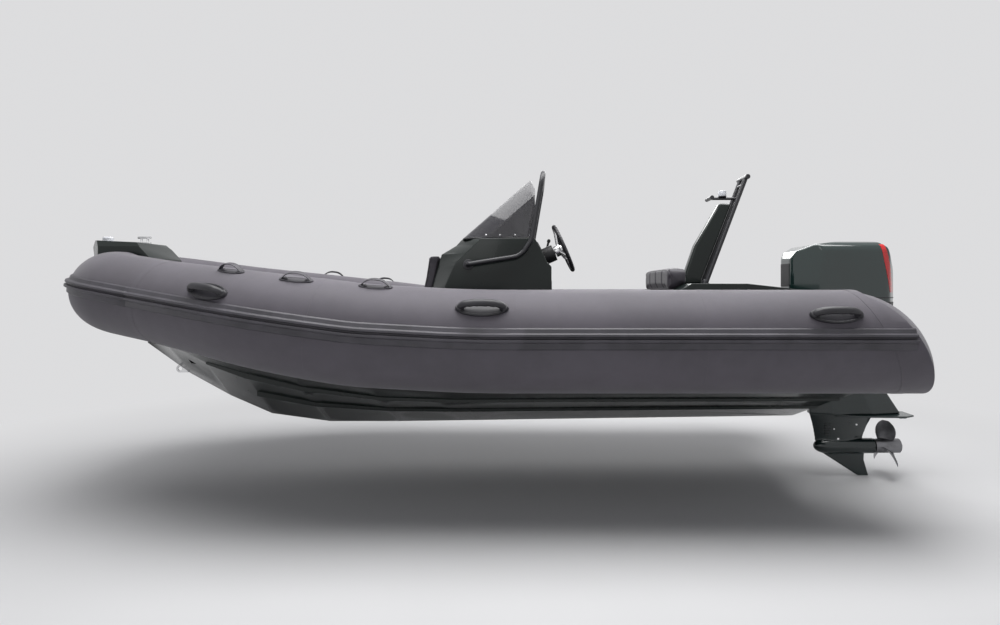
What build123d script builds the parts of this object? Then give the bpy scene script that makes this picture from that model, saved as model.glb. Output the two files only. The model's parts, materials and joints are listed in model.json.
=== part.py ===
from build123d import *
import math
import os

# Rigid inflatable boat with an outboard engine. Millimetres.
# +Z is up, the bow points along -X and port is -Y. Z = 0 is the waterline and
# X = 0 is where the windscreen meets the dash.

# Driving dimensions: inflatable collar
TUBE_R = 290.0
TUBE_HALF_SPACING = 930.0
TUBE_Z = 330.0
STERN_X = 2170.0
SHEER_X = -364.0
SHEER_RISE = 0.056
SHEER_ARC_R = 9000.0
BOW_SHEER_X = -972.0
BOW_SHEER_RISE = 0.085
BOW_SHEER_ARC_R = 2400.0
TAPER_X = BOW_SHEER_X - 130
SHOULDER_X = TAPER_X - 355
SHOULDER_ARC_R = 1400.0
CORNER_X = -2690.0
CORNER_Y = 455.0
CORNER_ARC_R = 400.0
NOSE_X = -2897.0
NOSE_ARC_R = 660.0
BOW_R = 253.5
BOW_SEAM_X = -2250.0
CONE_SEAM_X = 1908.0
CONE_SEAM_LEAN = 24.0
CONE_BALL_R = 440.0
CONE_BALL_DROP = 160.0
SKIN_GAP = 0.3

# Handles on the collar: x of each, angle up from level outboard
SIDE_HANDLES = ((1580.0, 33.0), (-280.0, 41.0), (-1716.0, 32.0))
TOP_HANDLES = ((-890.0, 72.0), (-1340.0, 68.0), (-1715.0, 72.0))
PAD_RISE = 7.0

# Rub strake along the collar, as depths over the tube at heights above its centre
STRAKE_END_X = 1975.0
STRAKE_TOP_V = 92.0
STRAKE_BOTTOM_V = -23.0
STRAKE_WEB = 9.0
STRAKE_RIDGE = 26.0

# Hull
DECK_Z = 200.0
DECK_T = 60.0
BOW_DECK_Z = 460.0
BOW_DECK_T = 40.0
BULKHEAD_X = -1500.0
TRANSOM_TOP_X = 1920.0
TRANSOM_TOP_Z = 280.0
TRANSOM_RAKE = 10.3
TRANSOM_T = 62.0
STRAKE_W = 42.0

# Bow hatch and the hinges of the lids
HATCH_FRONT_X = -2234.0
HATCH_BACK_X = -1646.0
HATCH_HALF_W = 194.0
HATCH_RIM_T = 12.0
HATCH_HINGE_Y = 120.0
HATCH_AXIS_X = HATCH_FRONT_X - 18
HATCH_AXIS_Z = BOW_DECK_Z + HATCH_RIM_T
HINGE_R = 9.0
HINGE_PIN_R = 4.0
HINGE_W = 44.0
HINGE_LUG_W = 14.0
HINGE_SIDE_GAP = 1.0

# Seats, console and mast
SEAT_GAP = 0.3
BENCH_FRONT_X = 430.0
BENCH_BACK_X = 850.0
BENCH_HALF_W = TUBE_HALF_SPACING - TUBE_R - 80
BENCH_TOP_Z = 470.0
WALL_T = 18.0
CUSHION_T = 75.0
BENCH_LID_T = 12.0
BENCH_AXIS_X = BENCH_FRONT_X - 12
BENCH_AXIS_Z = BENCH_TOP_Z + 6
BENCH_HINGE_Y = 300.0
PAD_T = 66.0
CONSOLE_HALF_W = 360.0
CONSOLE_CORNER = 160.0
CONSOLE_FRONT_X = -683.0
CONSOLE_TOP_Z = 955.0
DASH_FOOT_X = 108.0
SCREEN_T = 6.0
SCREEN_HALF_W = 338.0
SCREEN_CORNER = 105.0
SCREEN_FOOT_X = -490.0
SCREEN_END_X = 0.0
SCREEN_HEAD_X = -30.0
SCREEN_HEAD_Z = 1355.0
SCREEN_WING_Z = 1280.0
RAIL_R = 16.0
RAIL_HALF_W = 400.0
WHEEL_R = 165.0
WHEEL_RIM_R = 13.0
WHEEL_LEAN = 24.0
WHEEL_X = 200.0
WHEEL_Z = 910.0
PIN_CLEAR = 0.05
HELM_R = 58.0
HELM_BACK = 190.0
THROTTLE_Y = 230.0
DASH_NORMAL = (161.0, 0.0, 81.0)

# Aft deck with its well for the tilted engine
AFT_TOP_Z = 657.0
AFT_FRONT_X = 862.0
AFT_END_X = 1730.0
AFT_HALF_W = TUBE_HALF_SPACING - TUBE_R - 6
AFT_SEAT_Z = 605.0
AFT_CREST_X = 956.0
AFT_FALL_X = 1294.0
WELL_FRONT_X = 1290.0
WELL_HALF_W = 365.0
MAST_TUBE_R = 15.0
MAST_POST_HALF = 60.0

# Outboard engine
TILT_X = 1862.0
TILT_Z = 365.0
STEER_X = 1985.0
TILT_TUBE_R = 14.0
CLAMP_IN = 95.0
CLAMP_T = 20.0
PIVOT_R = 20.0
COWL_FRONT_X = 1770.0
COWL_REAR_X = 2455.0
COWL_HALF_W = 236.0
COWL_NOSE_HALF_W = 95.0
COWL_TAIL_HALF_W = 150.0
COWL_CORNER_R = 60.0
COWL_TOP_Z = 951.0
COWL_BOTTOM_Z = 500.0
PAN_Z = 450.0
COWL_T = 6.0
PLATE_Z = -262.0
PLATE_T = 12.0
PROP_Z = -485.0
PROP_R = 178.0
PROP_X = 2480.0
PROP_HUB_R = 50.0
PROP_PITCH = 480.0
TORPEDO_R = 53.0
TORPEDO_END_X = 2387.0
SHAFT_R = 14.0

# Bow step
STEP_HALF_W = 195.0
STEP_NOSE_W = 60.0

# Towing and lifting eyes
EYE_R = 14.0
EYE_T = 10.0
EYE_REACH = 34.0
EYE_WALL = 13.0
EYE_SINK = 25.0
BOW_EYE_X = -2476.0
BOW_EYE_Z = 60.0
TRANSOM_EYE_Y = 470.0
TRANSOM_EYE_Z = 190.0


def export(shape, name):
    """Write one node."""
    os.makedirs("parts", exist_ok=True)
    export_step(shape, "parts/" + name + ".step")


def block(x0, x1, y0, y1, z0, z1):
    """A box between two corners."""
    centre = ((x0 + x1) / 2, (y0 + y1) / 2, (z0 + z1) / 2)
    return Pos(*centre) * Box(abs(x1 - x0), abs(y1 - y0), abs(z1 - z0))


def side_profile(points, half_width, centre_y=0.0):
    """A solid from an outline in X and Z, as wide as twice half_width."""
    plane = Plane(origin=(0, centre_y, 0), x_dir=(1, 0, 0), z_dir=(0, -1, 0))
    face = plane * make_face(Polyline(*points, close=True))
    return extrude(face, half_width, both=True)


def plan_profile(points, z0, z1):
    """A solid from an outline in X and Y between two heights."""
    face = Pos(0, 0, z0) * make_face(Polyline(*points, close=True))
    return extrude(face, z1 - z0, dir=(0, 0, 1))


def rod(start, end, radius):
    """A round bar between two points."""
    run = Vector(*end) - Vector(*start)
    plane = Plane(origin=start, z_dir=run)
    return extrude(plane * Circle(radius), run.length)


def bent_bar(points, radii, radius):
    """A round bar along straight runs joined by arcs."""
    path = FilletPolyline(*points, radius=radii)
    return sweep(Plane(origin=path @ 0, z_dir=path % 0) * Circle(radius), path=path)


# Collar


def tube_point(x, y):
    """A point of the tube's centreline, which rises forward in two steps."""
    rise = max(0.0, SHEER_X - x) * SHEER_RISE + max(0.0, BOW_SHEER_X - x) * BOW_SHEER_RISE
    return (x, y, TUBE_Z + rise)


def tube_r(x):
    """Radius of the tube at x, which narrows forward to the bow seam."""
    share = (TAPER_X - x) / (TAPER_X - BOW_SEAM_X)
    return TUBE_R + min(1.0, max(0.0, share)) * (BOW_R - TUBE_R)


def shoulder_y(x):
    """Half spacing of the tubes at x on the straight run to the bow corner."""
    share = (SHOULDER_X - x) / (SHOULDER_X - CORNER_X)
    return TUBE_HALF_SPACING - share * (TUBE_HALF_SPACING - CORNER_Y)


def even_path(side, start_x):
    """Centreline of one side tube from start_x forward to where it starts to narrow."""
    y = side * TUBE_HALF_SPACING
    return FilletPolyline(
        tube_point(start_x, y),
        tube_point(SHEER_X, y),
        tube_point(BOW_SHEER_X, y),
        tube_point(TAPER_X, y),
        radius=[SHEER_ARC_R, BOW_SHEER_ARC_R],
    )


def narrowing_path(side):
    """Centreline of the narrowing run of one side tube, forward to the bow seam."""
    y = side * TUBE_HALF_SPACING
    return FilletPolyline(
        tube_point(TAPER_X, y),
        tube_point(SHOULDER_X, y),
        tube_point(BOW_SEAM_X, side * shoulder_y(BOW_SEAM_X)),
        radius=[SHOULDER_ARC_R],
    )


def bow_path():
    """Centreline of the bow tube, from the port seam round to the starboard one."""
    seam_y = shoulder_y(BOW_SEAM_X)
    return FilletPolyline(
        tube_point(BOW_SEAM_X, -seam_y),
        tube_point(CORNER_X, -CORNER_Y),
        tube_point(NOSE_X, 0),
        tube_point(CORNER_X, CORNER_Y),
        tube_point(BOW_SEAM_X, seam_y),
        radius=[CORNER_ARC_R, NOSE_ARC_R, CORNER_ARC_R],
    )


def tube_along(path, radius):
    """A round tube along a path."""
    return sweep(Plane(origin=path @ 0, z_dir=path % 0) * Circle(radius), path=path)


def side_tube(side, grow):
    """One side tube with its narrowing run, over-long aft, grown by an amount."""
    taper = narrowing_path(side)
    ends = [
        Plane(origin=taper @ at, z_dir=taper % at) * Circle(radius + grow)
        for at, radius in ((0, TUBE_R), (1, BOW_R))
    ]
    narrowing = sweep(ends, path=taper, multisection=True)
    return tube_along(even_path(side, STERN_X), TUBE_R + grow) + narrowing


def stern_ball(side, radius):
    """The ball that rounds off a tube's stern end."""
    x = STERN_X - CONE_BALL_R
    z = TUBE_Z - CONE_BALL_DROP
    return Pos(x, side * TUBE_HALF_SPACING, z) * Sphere(radius)


def seam_cutter(side):
    """A block that takes all of a tube aft of its slanted cone seam."""
    reach = 2 * (TUBE_R + STERN_X - CONE_SEAM_X)
    start = Plane(
        origin=(CONE_SEAM_X, side * TUBE_HALF_SPACING, TUBE_Z),
        x_dir=(0, 1, 0),
        z_dir=Vector(1, 0, 0).rotate(Axis.Y, -CONE_SEAM_LEAN),
    )
    return extrude(start * Rectangle(reach, reach), reach)


def collar_side(side):
    """One side tube, from its cone seam to the bow seam."""
    return side_tube(side, 0.0) - seam_cutter(side)


def collar_bow():
    """The nose of the collar."""
    return tube_along(bow_path(), BOW_R)


def cone(side):
    """The stern end of one tube."""
    y = side * TUBE_HALF_SPACING
    stub = rod((CONE_SEAM_X - TUBE_R, y, TUBE_Z), (STERN_X + 50, y, TUBE_Z), TUBE_R)
    return (stub & seam_cutter(side)) & stern_ball(side, CONE_BALL_R)


def collar_space(grow):
    """Everything that the collar takes up, grown by an amount."""
    space = tube_along(bow_path(), BOW_R + grow)
    for side in (-1, 1):
        space += side_tube(side, grow)
    return space


def strake_profile(path, at, side, radius):
    """The ribbed section of the rub strake, on a tube of a radius, at a share of a path."""
    inner_r = radius + SKIN_GAP

    def on_tube(v, depth):
        return ((inner_r**2 - v**2) ** 0.5 + depth, v)

    height = STRAKE_TOP_V - STRAKE_BOTTOM_V
    # share of the height from the bottom, depth over the tube
    ribs = (
        (0.0, 2.0),
        (0.06, STRAKE_WEB),
        (0.30, STRAKE_WEB),
        (0.36, STRAKE_RIDGE),
        (0.46, STRAKE_RIDGE),
        (0.51, STRAKE_WEB),
        (0.56, STRAKE_WEB),
        (0.61, STRAKE_RIDGE),
        (0.71, STRAKE_RIDGE),
        (0.77, STRAKE_WEB),
        (0.94, STRAKE_WEB),
        (1.0, 2.0),
    )
    outer = [on_tube(STRAKE_BOTTOM_V + share * height, depth) for share, depth in ribs]
    bottom = on_tube(STRAKE_BOTTOM_V, 0)
    middle = on_tube((STRAKE_BOTTOM_V + STRAKE_TOP_V) / 2, 0)
    top = on_tube(STRAKE_TOP_V, 0)
    ahead = path % at
    outward = Vector(0, 0, 1).cross(ahead).normalized() * -side
    plane = Plane(origin=path @ at, x_dir=outward, z_dir=ahead)
    if plane.y_dir.Z < 0:
        # looked at from behind, so the section is drawn mirrored
        outer = [(u, -v) for u, v in outer]
        bottom, middle, top = [(u, -v) for u, v in (bottom, middle, top)]
    inner = ThreePointArc(top, middle, bottom)
    return plane * make_face([Polyline(bottom, *outer, top), inner])


def side_strake(side):
    """The rub strake of one side tube."""
    even = even_path(side, STRAKE_END_X)
    taper = narrowing_path(side)
    ends = [strake_profile(taper, 0, side, TUBE_R), strake_profile(taper, 1, side, BOW_R)]
    return sweep(strake_profile(even, 0, side, TUBE_R), path=even) + sweep(
        ends, path=taper, multisection=True
    )


def bow_strake():
    """The rub strake round the nose."""
    nose = bow_path()
    return sweep(strake_profile(nose, 0, -1, BOW_R), path=nose)


def collar_frame(x, side, angle):
    """Plane on the tube's skin at x: X forward, Z straight out of the tube.

    The angle is measured up from level, outboard of the tube.
    """
    step = 40.0

    def centre(at):
        y = TUBE_HALF_SPACING if at > SHOULDER_X else shoulder_y(at)
        return Vector(*tube_point(at, side * y))

    forward = (centre(x - step) - centre(x + step)).normalized()
    outward = Vector(0, 0, 1).cross(forward).normalized() * -side
    up = (forward.cross(outward) * -side).normalized()
    turn = math.radians(angle)
    normal = (outward * math.cos(turn) + up * math.sin(turn)).normalized()
    return Plane(origin=centre(x) + normal * tube_r(x), x_dir=forward, z_dir=normal)


def grip_handle(x, side, angle, pad, arch, bar_r):
    """A moulded handle: an oval pad on the tube with an arched grip on it."""
    pad_length, pad_width = pad
    arch_length, arch_height = arch
    frame = collar_frame(x, side, angle)
    sink = 40.0
    ring = Ellipse(pad_length / 2, pad_width / 2)
    base = extrude(Pos(0, 0, -sink) * ring, sink + PAD_RISE)
    foot = arch_length / 2
    shoulder = foot - arch_height
    path = FilletPolyline(
        (-foot, 0, 0),
        (-shoulder, 0, arch_height),
        (shoulder, 0, arch_height),
        (foot, 0, 0),
        radius=[arch_height * 0.6, arch_height * 0.6],
    )
    bar = sweep(Plane(origin=path @ 0, z_dir=path % 0) * Circle(bar_r), path=path)
    return frame.location * (base + bar)


# Hull


def keel_z(x):
    """Height of the keel at x, along the stem and the straight run."""
    # x, z
    line = (
        (-2740.0, 243.0),
        (-2660.0, 190.0),
        (-2580.0, 149.0),
        (-2440.0, 29.0),
        (-2150.0, -130.0),
        (-1860.0, -256.0),
        (-1450.0, -312.0),
        (-950.0, -312.0),
        (1950.0, -270.0),
    )
    for (x0, z0), (x1, z1) in zip(line, line[1:]):
        if x <= x1:
            return z0 + (x - x0) / (x1 - x0) * (z1 - z0)
    return line[-1][1]


# Hull stations from the bow aft: x, half width and height of the chine
STATIONS = (
    (-2740.0, 30.0, 330.0),
    (-2440.0, 300.0, 270.0),
    (-2150.0, 450.0, 225.0),
    (-1860.0, 550.0, 180.0),
    (-1450.0, 670.0, 100.0),
    (-950.0, 770.0, 35.0),
    (-500.0, 800.0, 20.0),
    (1950.0, 800.0, 20.0),
)


def hull_section(x, chine_y, chine_z):
    """One station of the hull, from the keel up to the bow deck's height."""
    top = BOW_DECK_Z - BOW_DECK_T
    points = (
        (0.0, keel_z(x)),
        (chine_y, chine_z),
        (chine_y + 60.0, chine_z + 40.0),
        (chine_y + 60.0, top),
        (-chine_y - 60.0, top),
        (-chine_y - 60.0, chine_z + 40.0),
        (-chine_y, chine_z),
    )
    plane = Plane(origin=(x, 0, 0), x_dir=(0, 1, 0), z_dir=(1, 0, 0))
    return plane * make_face(Polyline(*points, close=True))


def strake_rib(side, share, first):
    """A spray strake on the bottom, a share of the way from keel to chine."""
    sections = []
    for x, chine_y, chine_z in STATIONS[first:]:
        keel = keel_z(x)
        slope = (chine_z - keel) / chine_y
        y = chine_y * share
        z = keel + slope * y
        width = STRAKE_W if x > -2000 else STRAKE_W * 0.4
        points = (
            (side * (y - width), z - slope * width - 0.5),
            (side * y, z - slope * width - 0.5),
            (side * y, z + 10),
            (side * (y - width), z - slope * width + 10),
        )
        plane = Plane(origin=(x, 0, 0), x_dir=(0, 1, 0), z_dir=(1, 0, 0))
        sections.append(plane * make_face(Polyline(*points, close=True)))
    return loft(sections, ruled=True)


def transom_cutter():
    """A block that takes all of the hull aft of the raked transom."""
    foot = Plane(
        origin=(TRANSOM_TOP_X, 0, TRANSOM_TOP_Z),
        x_dir=(0, 1, 0),
        z_dir=Vector(1, 0, 0).rotate(Axis.Y, TRANSOM_RAKE),
    )
    return extrude(foot * Rectangle(3000, 2000), 600)


def hull_shell(space):
    """The V hull with its bow locker, open cockpit and transom."""
    hull = loft([hull_section(*station) for station in STATIONS], ruled=True)
    for side in (-1, 1):
        hull += strake_rib(side, 0.78, 2)
        hull += strake_rib(side, 0.45, 3)
    inside_aft = TRANSOM_TOP_X - TRANSOM_T
    hull -= block(BULKHEAD_X, inside_aft, -1200, 1200, DECK_Z - DECK_T, 900)
    hull -= block(inside_aft - 1, 2300, -1200, 1200, TRANSOM_TOP_Z, 900)
    hull -= transom_cutter()
    hull -= block(-2330, BULKHEAD_X - 30, -230, 230, 120, 900)
    return hull - space


def cockpit_deck(space):
    """The flat cockpit floor between the tubes."""
    aft_x = TRANSOM_TOP_X - TRANSOM_T
    half = TUBE_HALF_SPACING - 190
    outline = [(aft_x, -half), (aft_x, half), (SHOULDER_X, half)]
    outline += [(BULKHEAD_X, shoulder_y(BULKHEAD_X) - 130)]
    outline += [(x, -y) for x, y in reversed(outline[2:])]
    return plan_profile(outline, DECK_Z - DECK_T, DECK_Z) - space


def bow_deck(space):
    """The raised bow deck with its hatchway."""
    outline = [(BULKHEAD_X, -shoulder_y(BULKHEAD_X)), (BULKHEAD_X, shoulder_y(BULKHEAD_X))]
    outline += [(CORNER_X - 10, CORNER_Y), (CORNER_X - 10, -CORNER_Y)]
    slab = plan_profile(outline, BOW_DECK_Z - BOW_DECK_T, BOW_DECK_Z)
    edge = 6
    slab -= block(
        HATCH_FRONT_X - edge,
        HATCH_BACK_X + edge,
        -HATCH_HALF_W - edge,
        HATCH_HALF_W + edge,
        BOW_DECK_Z - BOW_DECK_T - 1,
        BOW_DECK_Z + 1,
    )
    for y in (-HATCH_HINGE_Y, HATCH_HINGE_Y):
        slab += hinge_lugs(HATCH_AXIS_X, y, HATCH_AXIS_Z, BOW_DECK_Z - 5)
    return slab - space


def bow_hatch():
    """The lid of the bow locker, with the knuckles of its hinges along the front."""
    top = BOW_DECK_Z + HATCH_RIM_T
    lid = block(HATCH_FRONT_X, HATCH_BACK_X, -HATCH_HALF_W, HATCH_HALF_W, BOW_DECK_Z - 24, top)
    half = HATCH_HALF_W + 31
    lid += block(HATCH_FRONT_X, HATCH_BACK_X, -half, half, BOW_DECK_Z + SEAT_GAP, top)
    for y in (-HATCH_HINGE_Y, HATCH_HINGE_Y):
        lid += hinge_knuckle(HATCH_AXIS_X, y, HATCH_AXIS_Z, HATCH_FRONT_X)
    return lid


def hinge_knuckle(x, y, z, leaf_x):
    """The bored middle knuckle of a hinge, with its leaf back to leaf_x."""
    half = HINGE_W / 2
    knuckle = rod((x, y - half, z), (x, y + half, z), HINGE_R)
    knuckle += block(x, leaf_x + 4, y - half, y + half, z - 5, z)
    return knuckle - rod((x, y - half - 1, z), (x, y + half + 1, z), HINGE_PIN_R + PIN_CLEAR)


def hinge_lugs(x, y, z, foot_z):
    """A hinge's pin with the lug at each end, standing up from foot_z."""
    inner = HINGE_W / 2 + HINGE_SIDE_GAP
    outer = inner + HINGE_LUG_W
    lugs = rod((x, y - outer, z), (x, y + outer, z), HINGE_PIN_R)
    for near, far in ((inner, outer), (-outer, -inner)):
        lugs += rod((x, y + near, z), (x, y + far, z), HINGE_R)
        lugs += block(x - HINGE_R, x + HINGE_R, y + near, y + far, foot_z, z)
    return lugs


# Fittings on the collar and the stem


def nose_tip():
    """X of the collar's nose and height of its crown there."""
    return NOSE_X - BOW_R, tube_point(NOSE_X, 0)[2] + BOW_R


def bow_step(space):
    """The moulded step on the nose of the collar, narrower forward and at the top."""
    tip_x, crown_z = nose_tip()
    # distance back from the tip, height over the crown
    line = (
        (90.0, -30.0),
        (65.0, 25.0),
        (120.0, 68.0),
        (440.0, 53.0),
        (540.0, -54.0),
        (550.0, -149.0),
        (150.0, -149.0),
    )
    outline = [(tip_x + back, crown_z + rise) for back, rise in line]
    body = side_profile(outline, STEP_HALF_W)
    wide = STEP_HALF_W + 200
    for side in (-1, 1):
        # cut back the nose's corner, seen from above
        corner = (
            (tip_x - 50, side * STEP_NOSE_W),
            (tip_x + 65, side * STEP_NOSE_W),
            (tip_x + 190, side * (STEP_HALF_W + 1)),
            (tip_x + 190, side * wide),
            (tip_x - 50, side * wide),
        )
        body -= plan_profile(corner, crown_z - 200, crown_z + 100)
        # slope the side in towards the top
        lean = Pos(tip_x + 350, side * (STEP_HALF_W + 20), crown_z + 71) * Rot(side * 30, 0, 0)
        body -= lean * Box(900, 90, 60)
    return body - space if space else body


def bow_light():
    """The white oval light on the bow step."""
    tip_x, crown_z = nose_tip()
    place = Pos(tip_x + 130, 0, crown_z + 60)
    lamp = extrude(place * Ellipse(37, 27), 42)
    rim = lamp.faces().sort_by(Axis.Z)[-1].edges()
    return chamfer(rim, 7) - bow_step(None)


def bow_cleat():
    """The mooring cleat behind the light: a bar along the boat on two legs."""
    tip_x, crown_z = nose_tip()
    x, top = tip_x + 388, crown_z + 98
    low = crown_z + 36
    cleat = rod((x - 46, 0, top), (x + 46, 0, top), 8)
    for leg in (-22, 22):
        cleat += rod((x + leg, 0, low), (x + leg, 0, top), 8)
    cleat += block(x - 38, x + 38, -18, 18, low, low + 29)
    return cleat - bow_step(None)


# Seats


def bench_base():
    """The hollow seat box in front of the aft deck."""
    outer = block(BENCH_FRONT_X, BENCH_BACK_X, -BENCH_HALF_W, BENCH_HALF_W, DECK_Z, BENCH_TOP_Z)
    inner = block(
        BENCH_FRONT_X + WALL_T,
        BENCH_BACK_X - WALL_T,
        -BENCH_HALF_W + WALL_T,
        BENCH_HALF_W - WALL_T,
        DECK_Z + WALL_T,
        BENCH_TOP_Z + 10,
    )
    base = outer - inner
    for y in (-BENCH_HINGE_Y, BENCH_HINGE_Y):
        base += hinge_lugs(BENCH_AXIS_X, y, BENCH_AXIS_Z, BENCH_AXIS_Z - 30)
        for side in (-1, 1):
            near = y + side * (HINGE_W / 2 + HINGE_SIDE_GAP)
            far = near + side * HINGE_LUG_W
            foot = (BENCH_AXIS_Z - 30, BENCH_TOP_Z - 2)
            base += block(BENCH_AXIS_X - HINGE_R, BENCH_FRONT_X + 1, near, far, *foot)
    return base


def bench_lid():
    """The seat board, hinged along its front edge, which lifts with the cushion."""
    low = BENCH_TOP_Z + SEAT_GAP
    front = BENCH_FRONT_X + 2
    half = BENCH_HALF_W + 4
    lid = block(front, BENCH_BACK_X - 2, -half, half, low, low + BENCH_LID_T)
    for y in (-BENCH_HINGE_Y, BENCH_HINGE_Y):
        lid += hinge_knuckle(BENCH_AXIS_X, y, BENCH_AXIS_Z, front)
    return lid


def bench_cushion():
    """The seat pad on the lid."""
    low = BENCH_TOP_Z + 2 * SEAT_GAP + BENCH_LID_T
    half = BENCH_HALF_W - 5
    pad = block(BENCH_FRONT_X + 5, BENCH_BACK_X - 20, -half, half, low, low + CUSHION_T)
    return fillet(pad.edges().filter_by(Axis.Z), 50)


def backrest_pad():
    """The rounded back pad across the aft deck's front edge."""
    seat = AFT_SEAT_Z + SEAT_GAP
    front = AFT_FRONT_X - 6
    back = front + 118
    half = BENCH_HALF_W - 120
    pad = block(front, back, -half, half, seat, AFT_TOP_Z + 107)
    pad = fillet(pad.edges().filter_by(Axis.X), 40)
    crest = AFT_TOP_Z + SEAT_GAP
    under = (
        (front, seat),
        (AFT_FRONT_X, seat),
        (AFT_CREST_X, crest),
        (back + 20, crest),
        (back + 20, seat - 100),
        (front, seat - 100),
    )
    return pad - side_profile(under, half + 50)


def aft_deck():
    """The raised aft moulding, with the well that the engine tilts into."""
    # x, z along the moulding's side
    outline = (
        (AFT_FRONT_X, DECK_Z),
        (AFT_FRONT_X, AFT_SEAT_Z),
        (AFT_CREST_X, AFT_TOP_Z),
        (AFT_FALL_X, AFT_TOP_Z),
        (AFT_END_X - 174, AFT_TOP_Z - 29),
        (AFT_END_X, AFT_TOP_Z - 60),
        (AFT_END_X, DECK_Z),
    )
    body = side_profile(outline, AFT_HALF_W)
    body -= block(WELL_FRONT_X, AFT_END_X + 10, -WELL_HALF_W, WELL_HALF_W, DECK_Z - 1, 900)
    return body


# Console


def console_body():
    """The helm console, closed all round, with its front corners cut back."""
    # height, x of the front panel, x where the side panel starts, x of the back
    levels = (
        (DECK_Z, CONSOLE_FRONT_X - 37, -640.0, DASH_FOOT_X),
        (634.0, CONSOLE_FRONT_X - 15, -589.0, DASH_FOOT_X),
        (770.0, -656.0, -528.0, DASH_FOOT_X),
        (800.0, -648.0, -509.0, 78.0),
        (854.0, -633.0, -453.0, 52.0),
        (914.0, -534.0, -391.0, 22.0),
        (CONSOLE_TOP_Z, -497.0, -352.0, 0.0),
    )
    front = CONSOLE_HALF_W - CONSOLE_CORNER
    sections = []
    for z, front_x, side_x, back_x in levels:
        half = ((front_x, front), (side_x, CONSOLE_HALF_W), (back_x, CONSOLE_HALF_W))
        outline = half + tuple((x, -y) for x, y in reversed(half))
        sections.append(Pos(0, 0, z) * make_face(Polyline(*outline, close=True)))
    return loft(sections, ruled=True)


def console_pad():
    """The back pad on the console's front."""
    # x, z of the pad's side: it leans back with the console's front
    front_low, front_high = CONSOLE_FRONT_X - 17, -642.0
    outline = (
        (front_low - PAD_T, 560.0),
        (front_high - PAD_T, 862.0),
        (front_high, 862.0),
        (front_low - SEAT_GAP, 620.0),
        (front_low - SEAT_GAP, 560.0),
    )
    pad = side_profile(outline, 190.0)
    return pad - console_body()


def screen_form(inset):
    """The screen's form as a solid with cut front corners, shrunk by an inset."""
    foot_z = CONSOLE_TOP_Z + SKIN_GAP
    slope = (SCREEN_HEAD_Z - foot_z) / (SCREEN_HEAD_X - SCREEN_FOOT_X)
    shift = inset * (1 + 1 / slope**2) ** 0.5
    half = SCREEN_HALF_W - inset
    outline = (
        (SCREEN_FOOT_X + shift, foot_z),
        (SCREEN_END_X + inset, foot_z),
        (SCREEN_END_X + inset, SCREEN_WING_Z + inset),
        (SCREEN_HEAD_X + shift, SCREEN_HEAD_Z),
    )
    form = side_profile(outline, half)
    lean = (SCREEN_HEAD_Z - foot_z) / 2 + foot_z
    corners = form.edges().filter_by(
        lambda e: abs(e.center().Y) > half - 1 and abs(e.center().Z - lean) < 30
    )
    corners = corners.filter_by(lambda e: e.center().X < SCREEN_HEAD_X - 100)
    return chamfer(corners, SCREEN_CORNER)


def windscreen():
    """The wrapped screen: a sloping front, a cut corner and a wing on each side."""
    return screen_form(0.0) - screen_form(SCREEN_T)


def console_rail():
    """The bent grab rail round the console and over the screen."""
    top_y = RAIL_HALF_W
    return bent_bar(
        (
            (-435, -CONSOLE_HALF_W - SKIN_GAP, 783),
            (-435, -top_y, 783),
            (-91, -top_y, 837),
            (-21, -top_y, 944),
            (54, -top_y, 1385),
            (54, top_y, 1385),
            (-21, top_y, 944),
            (-91, top_y, 837),
            (-435, top_y, 783),
            (-435, CONSOLE_HALF_W + SKIN_GAP, 783),
        ),
        [22, 120, 120, 90, 90, 120, 120, 22],
        RAIL_R,
    )


def wheel_plane(back):
    """A plane square to the helm's shaft, back from the wheel's centre."""
    lean = math.radians(WHEEL_LEAN)
    axis = Vector(math.cos(lean), 0, math.sin(lean))
    centre = Vector(WHEEL_X, 0, WHEEL_Z) - axis * back
    return Plane(origin=centre, x_dir=(0, 1, 0), z_dir=axis)


def helm_hub(console):
    """The helm unit on the dash, with the bore for the wheel's shaft."""
    bell = extrude(wheel_plane(HELM_BACK) * Circle(HELM_R), 120)
    bell += extrude(wheel_plane(75) * Circle(30), 8)
    bell -= extrude(wheel_plane(110) * Circle(11 + PIN_CLEAR), 80)
    return bell - console


def wheel_rim():
    """The padded rim of the wheel."""
    return wheel_plane(0).location * Torus(WHEEL_R, WHEEL_RIM_R)


def steering_wheel():
    """The wheel's boss and three dished spokes, on the helm's shaft."""
    boss = extrude(wheel_plane(62) * Circle(40), 46)
    boss += extrude(wheel_plane(16) * Circle(34), 6)
    wheel = boss + extrude(wheel_plane(110) * Circle(11), 60)
    plane = wheel_plane(0)
    for turn in (90, 210, 330):
        angle = math.radians(turn)
        tip = (WHEEL_R - WHEEL_RIM_R - SKIN_GAP, -4.0)
        root = (26.0, -34.0)
        start, end = (
            plane.from_local_coords((reach * math.cos(angle), reach * math.sin(angle), deep))
            for reach, deep in (root, tip)
        )
        wheel += rod(tuple(start), tuple(end), 9)
    return wheel


def throttle_control(console):
    """The engine control on the dash, with its lever and grip."""
    foot = Vector(56, THROTTLE_Y, 866)
    box = Pos(*foot) * Rot(0, 64, 0) * Box(96, 62, 60)
    box = fillet(box.edges().filter_by(Axis.Y), 14) - console
    lever_top = foot + Vector(46, 0, 112)
    lever = rod(tuple(foot + Vector(20, 0, 10)), tuple(lever_top), 8)
    grip = rod(tuple(lever_top - Vector(0, 34, 0)), tuple(lever_top + Vector(0, 34, 0)), 13)
    return box + lever + grip


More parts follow.
